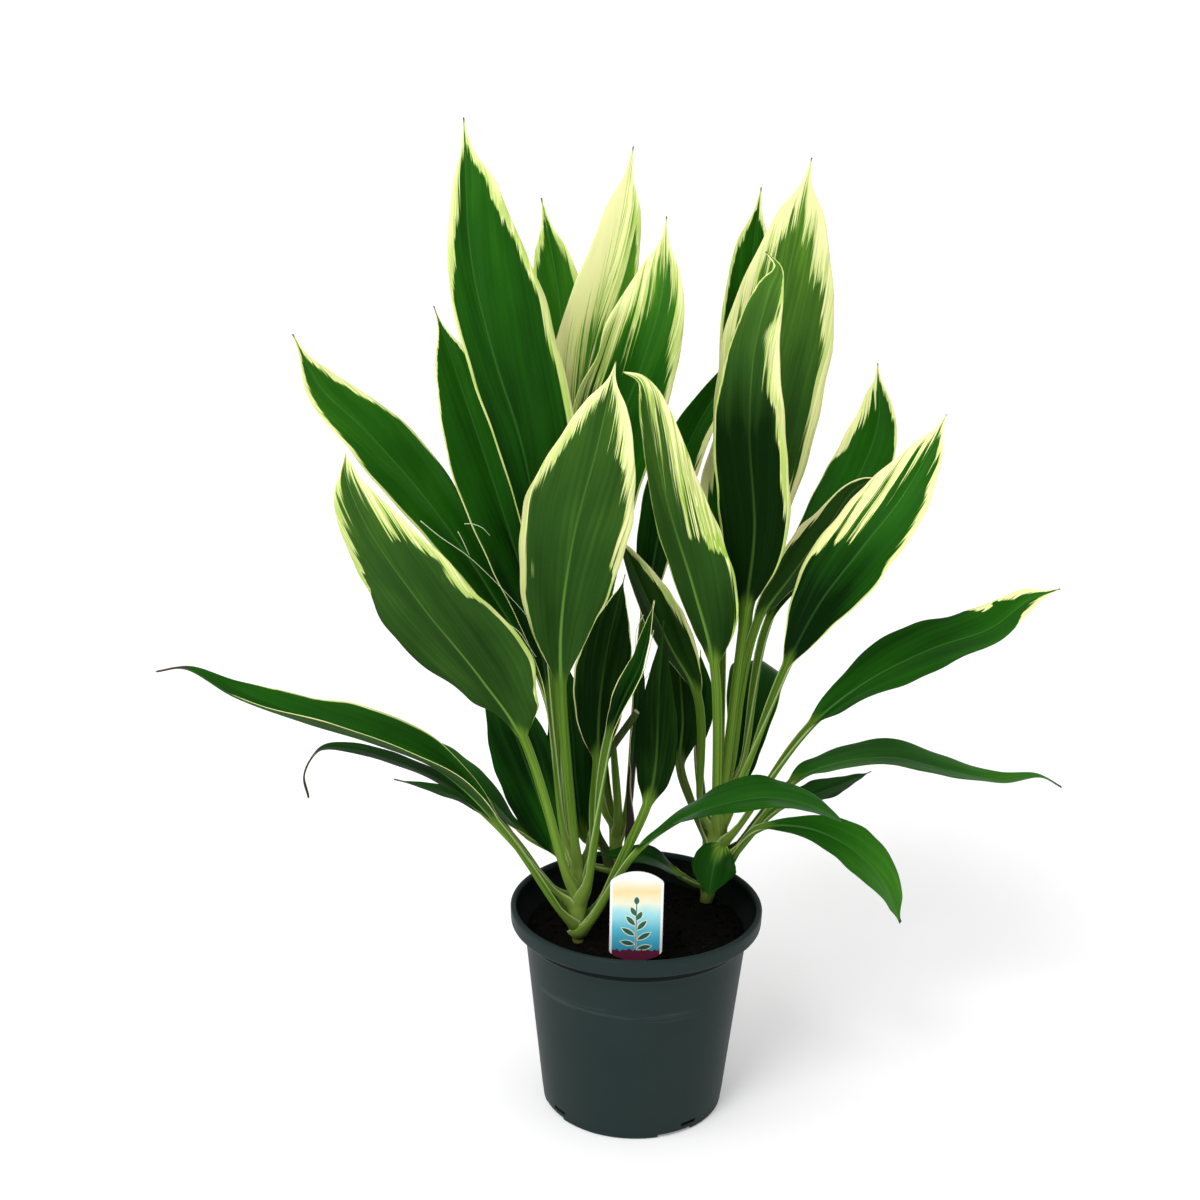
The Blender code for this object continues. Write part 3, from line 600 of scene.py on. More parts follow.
@dataclass
class Leaf:
    """One leaf: its place on the cane, its midrib, its outline and its colouring, in mm and degrees.

    A reach of cream is in half widths, from the margin inwards, so 2 goes over the whole blade.
    """
    node: float                    # share of the cane's height where the leaf leaves it
    route: list                    # the midrib from the top of the stalk to the tip
    width: float
    face: tuple                    # where the upper side looks
    belly: float = 0.45            # share of the blade where it is widest
    point: float = 1.3             # 1 is a full tip, and more is a slender one
    fold: float = 10               # how far each half rises from the midrib
    skew: float = 0.0              # how much wider the half of positive across values is
    wave: float = 0.05             # how far the margins ripple, as a share of the half's width
    azimuth: float = None          # the way it leaves the cane, if not straight towards its route
    tone: float = 0.4              # 0 is dark green and 1 is light green; partly the leaf's own green and partly painted shade, lowest on leaves deep in the clump
    left: tuple = PLAIN            # reach of cream on the half of negative across values
    right: tuple = PLAIN           # and on the other half
    streaks: float = 1.0           # how ragged the cream's edge is
    lime: float = 0.2              # how much lime goes with the cream
    painted_light: float = 0.0               # painted light and shade: how much lighter the tone is towards the tip than by the stalk
    roll: tuple = None             # a margin that curls over: its side, start, end and turn
    dusk: float = 0.0              # how brown the stalk is
    stalk: float = 3.5             # half width of the stalk
    drawn: float = 0.6             # how much the tip is drawn in
    tip: float = 0.4               # half width of the very tip
    dry: float = None              # share of the blade beyond which it has withered
    painted_light_from: float = 0.05         # share of the blade where the painted light starts to lighten the tone

    def __post_init__(self):
        self.route = [Vector(place) * MM for place in self.route]
        self.width *= MM
        self.face = Vector(self.face)
        self.stalk *= MM
        self.tip *= MM


LEAVES = {
    "left": [
        Leaf(0.02, [(-3, -44, 201), (18, -62, 229), (42, -78, 249), (77, -90, 262), (103, -92, 258),
              (123, -92, 248)], 52, (0, -0.1, 1), belly=0.55, point=0.6, azimuth=-52, tone=0.32, drawn=0.2,
             dry=0.99, left=BARE, right=BARE),
        Leaf(0.10, [(5, -15, 222), (10, -15, 251), (11, -15, 297), (13, -10, 349)], 27, (0, 1, 0.1),
             belly=0.35, azimuth=15, tone=0.0, left=BARE, right=BARE),
        Leaf(0.10, [(-91, -50, 225), (-127, -60, 265), (-167, -65, 284), (-210, -65, 297),
              (-254, -60, 311), (-285, -55, 327), (-304, -50, 323)], 50, (0.15, 0, 1), point=1.4, fold=30,
             azimuth=215, tone=0.25, drawn=0.3, tip=1.5, dry=0.9, left=FADING, right=FADING),
        Leaf(0.16, [(-84, -5, 194), (-109, -5, 216), (-135, -5, 227), (-162, -5, 234)], 22, (0.1, 0, 1),
             belly=0.4, azimuth=155, tone=0.15, tip=1.0, dry=0.9, left=BARE, right=BARE),
        Leaf(0.39, [(-93, -25, 211), (-123, -30, 240), (-155, -32, 257), (-187, -32, 266),
              (-206, -32, 265), (-217, -30, 247), (-215, -28, 230)], 21, (0.1, 0, 1), belly=0.4, azimuth=188,
             tone=0.12, tip=1.7, dry=0.84, left=BARE, right=BARE),
        Leaf(0.42, [(-21, -35, 276), (-12, -40, 306), (-1, -40, 333), (6, -35, 371)], 17, (-0.5, -0.8, 0.2),
             fold=45, wave=0.12, tone=0.08, left=THIN, right=THIN),
        Leaf(0.52, [(-75, -60, 287), (-99, -85, 336), (-133, -115, 393), (-160, -130, 441),
              (-171, -135, 471), (-173, -122, 482)], 80, (0.3, 0.9, 0.5), belly=0.42, point=0.9, fold=8,
             wave=0.07, tone=0.38, lime=1.0, streaks=1.25, drawn=0.2, dry=0.99,
             left=((0, 0.04), (0.42, 0.04), (0.5, 0.06), (0.55, 0.16), (0.6, 0.2), (0.64, 0.12),
                   (0.7, 0.2), (0.76, 0.4), (0.88, 0.5), (1, 0.9)),
             right=((0, -0.02), (0.55, -0.02), (0.62, 0.05), (0.68, 0.14), (0.8, 0.24), (0.92, 0.3),
                    (1, 0.8))),
        Leaf(0.55, [(-51, 25, 165), (-67, 40, 201), (-83, 50, 241), (-109, 60, 310)], 44, (0, -1, 0.3),
             belly=0.4, tone=0.10, left=BARE, right=BARE),
        Leaf(0.64, [(-64, 28, 286), (-101, 30, 355), (-139, 28, 413), (-176, 20, 460), (-207, 15, 493),
              (-222, 10, 526)], 44, (0.45, -0.8, 0.4), belly=0.62, point=0.9, fold=14, azimuth=98, tone=0.06,
             painted_light=0.42, lime=0.5, left=((0, 0.04), (0.6, 0.08), (0.8, 0.12), (0.9, 0.3), (1, 0.9)),
             right=((0, -0.02), (0.5, -0.02), (0.62, 0.04), (0.74, 0.09), (0.82, 0.18), (0.9, 0.38),
                    (0.96, 0.6), (1, 1))),
        Leaf(0.74, [(-28, 5, 243), (-27, 10, 285), (-22, 14, 325), (-12, 18, 371)], 38, (0, 1, 0), wave=0.14,
             azimuth=45, tone=0.0, left=THIN, right=THIN),
        Leaf(0.82, [(-60, 12, 285), (-72, 14, 347), (-95, 20, 422), (-119, 25, 493), (-135, 22, 543)], 48,
             (0.2, -1, 0.1), belly=0.58, point=1.1, azimuth=152, tone=-0.08, painted_light=0.32,
             left=((0, 0.02), (0.6, 0.03), (0.82, 0.07), (0.92, 0.2), (1, 0.7)),
             right=((0, 0.12), (0.5, 0.17), (0.82, 0.15), (0.92, 0.25), (1, 0.8))),
        Leaf(0.84, [(-51, -65, 321), (-51, -75, 370), (-44, -80, 425), (-31, -78, 479), (-21, -70, 528)], 66,
             (0, 1, 0.1), belly=0.52, point=1.1, wave=0.09, tone=0.38, lime=0.6, streaks=1.3, stalk=3.6,
             left=((0, 0.02), (0.37, 0.03), (0.42, 0.14), (0.6, 0.17), (0.7, 0.22), (0.76, 0.48),
                   (0.88, 0.6), (1, 1)),
             right=((0, 0.05), (0.3, 0.09), (0.36, 0.18), (0.44, 0.14), (0.64, 0.12), (0.74, 0.2),
                    (0.84, 0.45), (0.93, 0.7), (1, 1))),
        Leaf(0.94, [(-60, -8, 334), (-77, -8, 455), (-96, -5, 517), (-110, -1, 575), (-114, -5, 660)], 58,
             (0.1, -1, 0.15), belly=0.57, point=0.9, fold=8, skew=0.4, wave=0.04, azimuth=203, tone=-0.08,
             painted_light=0.36, lime=0.9,
             left=((0, 0.05), (0.4, 0.06), (0.68, 0.07), (0.76, 0.24), (0.84, 0.48), (0.92, 0.5),
                   (0.96, 0.75), (1, 1.1)),
             right=((0, 0.07), (0.4, 0.09), (0.65, 0.12), (0.82, 0.13), (0.89, 0.28), (0.95, 0.55), (1, 1))),
    ],
    "right": [
        Leaf(0.10, [(31, 22, 154), (9, 12, 172), (-27, 6, 177)], 26, (0, -0.2, 1), tone=0.08, left=BARE,
             right=BARE),
        Leaf(0.28, [(58, 22, 177), (53, 13, 170), (49, 7, 145)], 31, (0, -1, 0.3), belly=0.4, point=1.5,
             fold=14, tone=0.2, left=BARE, right=BARE),
        Leaf(0.16, [(80, 10, 195), (111, 0, 202), (141, -6, 191), (165, -10, 168), (177, -14, 140)], 40,
             (0.3, -0.45, 0.85), belly=0.6, point=0.9, tone=0.2, painted_light=0.4, drawn=0.4, tip=1.5, dry=0.97,
             left=BARE, right=BARE),
        Leaf(0.20, [(96, 55, 189), (125, 65, 198), (146, 72, 204), (165, 78, 211)], 30, (0, 0, 1),
             azimuth=50, tone=0.22, dry=0.94, left=BARE, right=BARE),
        Leaf(0.33, [(103, 30, 220), (130, 35, 233), (173, 40, 237), (213, 40, 228), (248, 40, 222),
              (274, 38, 226), (289, 36, 219)], 46, (0, 0, 1), belly=0.4, azimuth=-4, tone=0.45, drawn=0.4,
             tip=1.5, dry=0.95, left=BARE, right=BARE),
        Leaf(0.44, [(111, 5, 271), (146, 2, 305), (186, 0, 329), (224, -2, 345), (247, -4, 365),
              (266, -4, 373)], 47, (-0.3, -0.4, 0.85), belly=0.48, point=0.75, fold=12, wave=0.08,
             azimuth=-38, tone=0.3,
             left=((0, -0.02), (0.66, -0.02), (0.70, 0.12), (0.76, 0.2), (0.79, 0.03), (0.84, 0.3),
                   (0.92, 0.4), (1, 0.5)),
             right=((0, -0.02), (0.8, -0.02), (0.87, 0.35), (0.94, 0.5), (1, 0.6))),
        Leaf(0.29, [(43, 95, 217), (45, 105, 241), (44, 115, 286)], 20, (0.5, -0.8, 0.1), fold=14, tone=0.1,
             dusk=0.9),
        Leaf(0.41, [(30, 65, 216), (31, 75, 248), (27, 85, 289), (19, 90, 331)], 34, (0, 1, 0.1), tone=0.10,
             dusk=0.5, left=BARE, right=BARE),
        Leaf(0.48, [(71, 72, 197), (80, 100, 243), (88, 135, 269), (97, 180, 250), (105, 225, 208)], 42,
             (0, -0.7, 0.5), fold=-20, tone=0.15),
        Leaf(0.54, [(39, 45, 276), (20, 48, 313), (1, 50, 351), (-18, 52, 391)], 36, (0.4, 0.8, 0.3),
             fold=24, tone=0.2, lime=0.9, left=((0, 0.05), (0.2, 0.12), (0.5, 0.25), (0.8, 0.4), (1, 1)),
             right=THIN),
        Leaf(0.62, [(93, -5, 316), (112, -12, 363), (136, -16, 401), (158, -16, 433), (175, -14, 465),
              (184, -12, 487)], 52, (-0.35, -0.75, 0.5), belly=0.5, point=0.9, fold=14, tone=-0.08, painted_light=0.42,
             lime=0.5, streaks=1.3, dry=0.985,
             left=((0, 0.06), (0.36, 0.07), (0.42, 0.25), (0.5, 0.58), (0.6, 0.62), (0.75, 0.55),
                   (0.85, 0.6), (0.95, 0.85), (1, 1)),
             right=((0, 0.03), (0.46, 0.04), (0.54, 0.12), (0.7, 0.17), (0.85, 0.3), (0.95, 0.6), (1, 1))),
        Leaf(0.56, [(45, -25, 325), (31, -32, 377), (12, -42, 437), (1, -48, 485), (-6, -50, 512),
              (-17, -42, 516)], 42, (0.4, 0.9, 0.2), belly=0.35, point=0.7, fold=14, skew=-0.3, azimuth=-108,
             tone=0.2, painted_light=0.3, lime=1.6, streaks=1.9,
             left=((0, 0.04), (0.34, 0.05), (0.4, 0.22), (0.44, 0.42), (0.8, 0.55), (1, 0.9)),
             right=((0, 0.015), (0.6, 0.02), (0.85, 0.10), (1, 0.8))),
        Leaf(0.86, [(75, 15, 339), (95, 18, 372), (117, 20, 404), (136, 20, 432), (156, 18, 440)], 34,
             (-0.3, 0.8, 0.5), tone=0.22,
             right=((0, 0.06), (0.3, 0.10), (0.42, 0.14), (0.52, 0.28), (0.6, 0.26), (0.7, 0.12),
                    (0.9, 0.2), (1, 0.9))),
        Leaf(0.90, [(84, 50, 324), (106, 60, 367), (128, 68, 400), (145, 72, 430), (154, 70, 465),
              (150, 62, 504)], 44, (-0.4, -0.7, 0.5), belly=0.58, point=0.9, azimuth=-2, tone=0.0, painted_light=0.3,
             lime=0.5,
             left=((0, 0.015), (0.58, 0.03), (0.68, 0.2), (0.78, 0.38), (0.88, 0.55), (0.95, 0.8), (1, 1)),
             right=((0, 0.015), (0.72, 0.03), (0.82, 0.18), (0.92, 0.45), (1, 0.9))),
        Leaf(0.70, [(64, -20, 359), (67, -30, 416), (61, -36, 480), (62, -38, 530), (70, -34, 565),
              (75, -25, 577), (68, -15, 585)], 46, (0.1, 1, 0), belly=0.38, point=0.8, fold=8, wave=0.09,
             tone=-0.1, painted_light=0.8, painted_light_from=0.38, lime=1.0,
             left=((0, 0.05), (0.2, 0.07), (0.3, 0.14), (0.4, 0.16), (0.5, 0.2), (0.56, 0.22),
                   (0.62, 0.42), (0.76, 0.5), (0.84, 0.2), (0.92, 0.12), (1, 0.6)),
             right=((0, 0.03), (0.5, 0.04), (0.8, 0.04), (0.9, 0.10), (1, 0.6))),
        Leaf(0.82, [(57, 82, 304), (55, 85, 375), (58, 88, 437), (64, 88, 498)], 38, (-0.2, -0.95, 0.1),
             fold=14, azimuth=124, tone=0.25, left=((0, 0.08), (0.4, 0.25), (0.6, 0.45), (1, 1.1))),
        Leaf(0.96, [(72, 55, 329), (75, 65, 437), (82, 70, 502), (88, 70, 544), (94, 65, 588),
              (100, 55, 635)], 74, (0, 1, 0.1), belly=0.54, point=1.05, fold=8, skew=-0.06, azimuth=68,
             tone=0.34, painted_light=0.42, painted_light_from=0.35, lime=0.6, streaks=1.2,
             left=((0, 0.1), (0.3, 0.12), (0.6, 0.14), (0.7, 0.22), (0.78, 0.4), (0.86, 0.6), (0.92, 1.0),
                   (1, 1.3)),
             right=((0, 0.08), (0.4, 0.11), (0.55, 0.14), (0.63, 0.26), (0.8, 0.4), (0.87, 0.75),
                    (0.92, 1.1), (1, 1.4))),
        Leaf(0.76, [(72, 100, 299), (70, 118, 440), (70, 120, 521), (70, 116, 565), (73, 105, 611)], 40,
             (-0.2, -0.95, 0.1), belly=0.62, point=0.8, fold=14, azimuth=56, tone=0.18, lime=0.6,
             left=((0, 0.03), (0.5, 0.06), (0.8, 0.10), (0.92, 0.3), (1, 1)),
             right=((0, 0.02), (0.85, 0.05), (1, 0.9))),
    ],
    "rear": [
        Leaf(0.20, [(-74, 38, 174), (-101, 35, 203), (-125, 35, 226), (-152, 35, 243), (-177, 35, 254)], 36,
             (0.1, -0.1, 1), belly=0.5, tone=0.35),
        Leaf(0.34, [(-5, 45, 217), (-3, 50, 243), (0, 60, 312)], 18, (1, -0.6, 0), fold=14, tone=0.1,
             dusk=1.0),
        Leaf(0.45, [(-36, 58, 166), (-42, 60, 202), (-46, 65, 244), (-55, 68, 303)], 40, (0, -1, 0.2),
             belly=0.4, tone=0.05, left=BARE, right=BARE),
        Leaf(0.58, [(3, 85, 318), (17, 98, 401), (33, 105, 444), (54, 110, 483), (69, 110, 517)], 34,
             (-0.3, -0.9, 0.2), fold=20, tone=0.18, right=((0, 0.06), (0.5, 0.18), (0.8, 0.4), (1, 1))),
        Leaf(0.70, [(-26, 32, 325), (-28, 32, 407), (-18, 31, 464), (-5, 30, 503), (7, 25, 549),
              (9, 20, 601)], 66, (-0.2, -0.95, 0.2), belly=0.52, point=1, fold=8, skew=-0.2, azimuth=-60,
             tone=0.3, painted_light=0.5, painted_light_from=0.42, lime=1.0, streaks=1.6, roll=(-1, 0.1, 0.8, 100),
             left=((0, 0.18), (0.3, 0.2), (0.5, 0.26), (0.7, 0.4), (0.85, 0.62), (0.93, 0.9), (1, 1.2)),
             right=((0, 0.02), (0.5, 0.03), (0.62, 0.12), (0.75, 0.26), (0.88, 0.48), (0.95, 0.8), (1, 1.1))),
        Leaf(0.82, [(-33, 45, 316), (-44, 48, 446), (-36, 50, 518), (-21, 48, 583), (-12, 42, 641)], 48,
             (0.2, -0.95, 0.1), belly=0.55, point=0.9, fold=8, azimuth=-150, tone=0.5, painted_light=0.25, lime=1.0,
             streaks=1.4,
             left=((0, 0.5), (0.4, 0.6), (0.6, 0.75), (0.72, 1.25), (0.85, 1.35), (0.93, 1.6), (1, 2)),
             right=((0, 0.03), (0.6, 0.06), (0.8, 0.14), (0.9, 0.3), (1, 0.8))),
        Leaf(0.85, [(-33, 82, 297), (-43, 82, 407), (-52, 82, 487), (-60, 80, 552), (-70, 75, 605)], 44,
             (-0.2, -0.95, 0.2), belly=0.6, point=0.8, azimuth=117, tone=-0.05, painted_light=0.5, lime=1.0,
             streaks=1.3, left=((0, 0.02), (0.7, 0.03), (0.82, 0.12), (0.92, 0.35), (1, 0.8)),
             right=((0, 0.02), (0.7, 0.03), (0.8, 0.18), (0.9, 0.35), (0.95, 0.6), (1, 1))),
    ],
}


def footing(height):
    """How far the leaf bases have widened at a height above the cane's foot."""
    return blend(FOOT_SHARE, 1.0, smooth(height / FOOT_TAPER))


def leaf_line(cane, leaf, rank):
    """Rows of a leaf as places and shares, the way it leaves the cane, and its sizes.

    A share is from 0 to 1 in the blade, from -1 in the stalk and from -2 in the leaf base. The sizes
    are the radius of the leaf base and the length of the blade.
    """
    axis = (cane.top - cane.foot).normalized()
    node = cane.foot.lerp(cane.top, leaf.node)
    node_height = leaf.node * cane.length
    outward = leaf.route[0] - node
    if leaf.azimuth is not None:
        turn = math.radians(leaf.azimuth)
        outward = Vector((math.cos(turn), math.sin(turn), 0))
    outward = (outward - axis * outward.dot(axis)).normalized()
    radius = cane.stem_radius * INNER_BASE + rank * BASE_GAP
    base = node + outward * radius * footing(node_height)
    rising = (leaf.route[0] - base).normalized()
    lean = max(0.5 - math.hypot(rising.x, rising.y), 0)
    elbow = base + (rising + outward * lean).normalized() * ELBOW
    below = min(node_height + 2 * MM, BASE_DEPTH)
    heights = (node_height - below, node_height - below / 2)
    knots = [cane.foot + axis * height + outward * radius * footing(height) for height in heights]
    knots += [base, elbow] + leaf.route
    line, marks = smooth_route(knots, SPLINE_STEPS)
    sheath, _ = resampled(line[:marks[2] + 1], [i / SHEATH_ROWS for i in range(SHEATH_ROWS)])
    stalk, _ = resampled(line[marks[2]:marks[4] + 1], [i / PETIOLE_ROWS for i in range(PETIOLE_ROWS)])
    evens = [i / BLADE_ROWS for i in range(BLADE_ROWS + 1)]
    spread = [even + ((1 - math.cos(math.pi * even)) / 2 - even) * 0.35 for even in evens]
    blade, length = resampled(line[marks[4]:], spread)
    shares = [-2 + i / SHEATH_ROWS for i in range(SHEATH_ROWS)]
    shares += [-1 + i / PETIOLE_ROWS for i in range(PETIOLE_ROWS)] + spread
    return sheath + stalk + blade, shares, outward, radius, length


def carried_normals(along, outward):
    """Normals of the upper side, carried up from the stem without twisting."""
    normal = -outward
    normals = []
    for i, tangent in enumerate(along):
        if i:
            normal = along[i - 1].rotation_difference(tangent) @ normal
        normal = (normal - tangent * normal.dot(tangent)).normalized()
        normals.append(normal)
    return normals


def half_width(leaf, radius, share):
    """Width of one half, from the midrib to the margin, measured along the blade's surface."""
    wrapped = radius * math.radians(SHEATH_TURN)
    neck = max(wrapped * NECK_SHARE, leaf.stalk)
    if share < -1:
        return blend(wrapped, neck, smooth(share + 2))
    if share < 0:
        return blend(neck, leaf.stalk, smooth((share + 1) / STALK_NARROWS))
    stretched = share ** (math.log(0.5) / math.log(leaf.belly))
    power = 0.85 + (leaf.point - 0.85) * share
    blade = max(math.sin(math.pi * min(stretched, 1.0)), 0.0) ** power * leaf.width / 2
    narrowing = leaf.stalk * (1 - share)
    drawn_out = 1 - leaf.drawn * smooth((share - TIP_STARTS) / TIP_LENGTH)
    ripple = 1 + 0.018 * math.sin(share * 21 + leaf.node * 40) + 0.012 * math.sin(share * 47 + leaf.node * 90)
    return max((blade ** 3 + narrowing ** 3) ** (1 / 3) * drawn_out * ripple, leaf.tip)


def section(leaf, share, side, half):
    """One half of the upper side as (column, out, up, slope in radians), from the midrib outwards."""
    opened = smooth(share / BLADE_OPENS)
    rolled = 0.0
    if leaf.roll and leaf.roll[0] == side and share > 0:
        start, end, turn = leaf.roll[1:]
        rolled = math.radians(turn) * smooth((share - start) / 0.15) * smooth((end - share) / 0.15)
    if share < -1:
        turn = blend(SHEATH_TURN, NECK_TURN, smooth(share + 2))
    else:
        turn = blend(NECK_TURN, PETIOLE_TURN, smooth((share + 1) / STALK_OPENS))
    points = [(0, 0.0, 0.0, 0.0)]
    out = up = 0.0
    for inner, outer in zip(HALF_COLUMNS, HALF_COLUMNS[1:]):
        middle = (inner + outer) / 2
        channel = math.radians(turn) * middle
        lifted = math.radians(leaf.fold) * min(middle / FOLD_COLUMN, 1.0)
        lifted += math.radians(BULGE) * (ARCH_COLUMN - middle) * min(middle / 0.2, 1.0)
        lifted += rolled * smooth((middle - CURL_COLUMN) / 0.3)
        slope = blend(channel, lifted, opened)
        out += (outer - inner) * half * math.cos(slope)
        up += (outer - inner) * half * math.sin(slope)
        points.append((outer, out, up, slope))
    return points


def thickness(share, column):
    """Thickness of the leaf, which is greatest along the midrib."""
    edge = column ** 1.5
    sheath = blend(*SHEATH_THICK, edge) * MM
    if share < -1:
        return sheath
    stalk = blend(*STALK_THICK, edge) * MM
    if share < 0:
        return blend(sheath, stalk, smooth((share + 1) / STALK_THICKENS))
    blade = blend(*BLADE_THICK, column) * MM
    rib = RIB_THICK * MM * (1 - share) ** 1.6 * math.exp(-(column / (0.09 - 0.05 * share)) ** 2)
    return blend(stalk, blade + rib, smooth(share / 0.10))


def dryness(leaf, share):
    """How dead the blade is at a share: at its very tip, and further down where it has withered."""
    if leaf.dry is None:
        return 0.75 * smooth((share - 0.985) / 0.013)
    return smooth((share - leaf.dry) / 0.03)


def leaf_facts(leaf, share, side, column, half, length, seed):
    """What the finishes read at one point of a leaf."""
    near, far = profile_at(leaf.left, share), profile_at(leaf.right, share)
    if side > 0:
        near, far = far, near
    cream, reach = near - (1 - column), near
    if far - (1 + column) > cream:
        cream, reach = far - (1 + column), far
    depth = column * half
    run = share * length
    past_stalk = run + 2.2 * max(depth - 0.6 * leaf.stalk, 0) - 2 * MM
    return {
        "across": side * column,
        "along": share,
        "run": run / MM,
        "vein": side * (column * math.sqrt(half * leaf.width / 2) - VEIN_LEAN * run) / MM,
        "depth": depth / MM,
        "cream": cream,
        "ragged": min(reach * 1.1, 0.85) * leaf.streaks,
        "lime": leaf.lime,
        "stalk": 1 - smooth(past_stalk / STALK_FADE),
        # Painted light and shade: the tone lightens towards the tip, so the lower blade reads as shaded.
        "tone": leaf.tone + leaf.painted_light * smooth((share - leaf.painted_light_from) / 0.6),
        "dusk": leaf.dusk * smooth((share + 1.2) / 0.3),
        "dry": dryness(leaf, share),
        "seed": seed,
    }


def wall(first, second, under, flipped):
    """A face from an edge of the upper side down to the underside."""
    face = (first, second, second + under, first + under)
    return face[::-1] if flipped else face


def leaf_faces(rows, width):
    """Faces of both sides, the margins and the ends of a leaf; kind 0 is upper and 1 is under."""
    under = rows * width
    faces, kinds = [], []
    for start in range(0, under - width, width):
        for corner in range(start, start + width - 1):
            face = (corner, corner + 1, corner + width + 1, corner + width)
            faces += [face, tuple(under + i for i in reversed(face))]
            kinds += [0, 1]
        for edge, flipped in ((start, False), (start + width - 1, True)):
            faces.append(wall(edge, edge + width, under, flipped))
            kinds.append(0)
    for start, flipped in ((0, True), (under - width, False)):
        for corner in range(start, start + width - 1):
            faces.append(wall(corner, corner + 1, under, flipped))
            kinds.append(1)
    return faces, kinds


def make_leaf(node, cane, leaf, rank, finishes):
    """One leaf as a closed sheet, with what its finishes read stored on its points."""
    line, shares, outward, radius, length = leaf_line(cane, leaf, rank)
    along = tangents(line)
    normals = carried_normals(along, outward)
    middle = min(range(len(shares)), key=lambda i: abs(shares[i] - LOOK_SHARE))
    wanted = (leaf.face - along[middle] * leaf.face.dot(along[middle])).normalized()
    roll = math.atan2(normals[middle].cross(wanted).dot(along[middle]), normals[middle].dot(wanted))
    seed = (rank * 7.31 + leaf.node * 31 + cane.length * 900) % 50
    uppers, lowers, facts = [], [], []
    for place, tangent, normal, share in zip(line, along, normals, shares):
        normal = Quaternion(tangent, roll * smooth(share + 1)) @ normal
        side_way = tangent.cross(normal)
        widened = footing(max((place - cane.foot).z, 0)) if share < -1 else 1.0
        half = half_width(leaf, radius, share) * widened
        opened = smooth(share / WAVES_GROW)
        for side in (-1, 1):
            columns = section(leaf, share, side, half * (1 + leaf.skew * side * opened))
            shift = 0.35 if side > 0 else 0
            ripple = math.sin(2 * math.pi * (2.2 * share + leaf.node + shift))
            ripple += 0.35 * math.sin(2 * math.pi * (5.1 * share + 3.7 * leaf.node + shift))
            for column, out, up, slope in columns[1:] if side > 0 else reversed(columns):
                lift = up + leaf.wave * half * column ** 3 * ripple * opened
                top = place + side_way * (side * out) + normal * lift
                down = normal * math.cos(slope) - side_way * (side * math.sin(slope))
                uppers.append(top)
                lowers.append(top - down * thickness(share, column) * widened)
                facts.append(leaf_facts(leaf, share, side, column, half, length, seed))
    faces, kinds = leaf_faces(len(line), 2 * len(HALF_COLUMNS) - 1)
    piece = new_piece(f"cordyline_{node}", uppers + lowers, faces, finishes, node, kinds)
    for fact in facts[0]:
        layer = piece.data.attributes.new(fact, "FLOAT", "POINT")
        layer.data.foreach_set("value", [point[fact] for point in facts] * 2)


def make_leaves():
    """Dresses every leaf; a leaf's rank is its place on the cane, counted from the top."""
    finishes = make_leaf_upper(), make_leaf_under()
    for cane_name, leaves in LEAVES.items():
        order = sorted(range(len(leaves)), key=lambda i: -leaves[i].node)
        for number, leaf in enumerate(leaves, 1):
            node = f"leaf_{cane_name}_{number:02d}"
            make_leaf(node, CANES[cane_name], leaf, order.index(number - 1), finishes)


# Stems, a cut stalk and dry fibres

STEM_ROWS = 40
STEM_SIDES = 32
STEM_DEPTH = 10 * MM               # how far the stem starts under the cane's foot
STEM_SHORT = 12 * MM               # how far it ends below the cane's top
SCAR_GAP = 7                       # mm from one ring scar to the next

CUT_STALK_ROUTE = [(-19, 48.5, 150), (-21.5, 45.5, 163), (-28, 37, 182), (-27, 26, 228), (-2, 20, 275)]
CUT_STALK_SIDES = 20
CUT_STALK_RADII = (3.9, 2.7)       # mm, at the foot and at the cut

# Thin fibres on torn leaf bases and margins, from root to end, in mm
FIBRES = (
    ((-140, -30, 418), (-128, -30, 408), (-111, -30, 396), (-97, -28, 382), (-79, -26, 362), (-72, -22, 352)),
    ((-113, -28, 416), (-108, -28, 416), (-102, -29, 414), (-97, -29, 409)),
    ((-117, -28, 411), (-114, -28, 405), (-110, -29, 396)),
    ((-87, -28, 352), (-79, -28, 346), (-73, -28, 337), (-68, -24, 328)),
    ((0, -2, 350), (-4, -2, 340), (-5, -2, 324), (-9, 0, 313), (-13, 2, 304)),
    ((4, -2, 344), (-3, -2, 328), (-5, -2, 321)),
    ((7, 0, 339), (4, 0, 323), (0, 0, 307), (-10, 0, 293), (-16, 0, 277), (-22, 0, 259)),
    ((2, 0, 305), (8, 0, 314), (11, 0, 319)),
)
FIBRE_SIDES = 6
FIBRE_RADII = (0.28, 0.15)         # mm, at the root and at the end


def make_stems():
    """Ringed stems inside the leaf bases, which start a little under the soil."""
    finish = make_stem_finish()
    for name, cane in CANES.items():
        turn = (cane.top - cane.foot).to_track_quat("Z", "Y")
        rings = []
        for i in range(STEM_ROWS + 1):
            height = blend(-STEM_DEPTH, cane.length - STEM_SHORT, 1 - i / STEM_ROWS)
            radius = blend(cane.stem_radius, cane.stem_radius * 0.4, max(height, 0) / cane.length)
            radius *= footing(height) * 0.9
            scar = math.exp(-((height / MM % SCAR_GAP - SCAR_GAP / 2) / 0.8) ** 2) * 0.25 * MM
            rings.append((radius + scar, height))
        top_radius, top = rings[0]
        rings.insert(0, (top_radius * 0.4, top + 1.2 * MM))
        points = []
        for radius, height in rings:
            points += [cane.foot + turn @ Vector(point) for point in ring_points(radius, height, STEM_SIDES)]
        faces = turned_faces(len(rings), STEM_SIDES)
        faces.append(tuple(range(STEM_SIDES)))
        faces.append(tuple(reversed(range(len(points) - STEM_SIDES, len(points)))))
        new_piece(f"stem_{name}", points, faces, (finish,), f"cane_{name}")


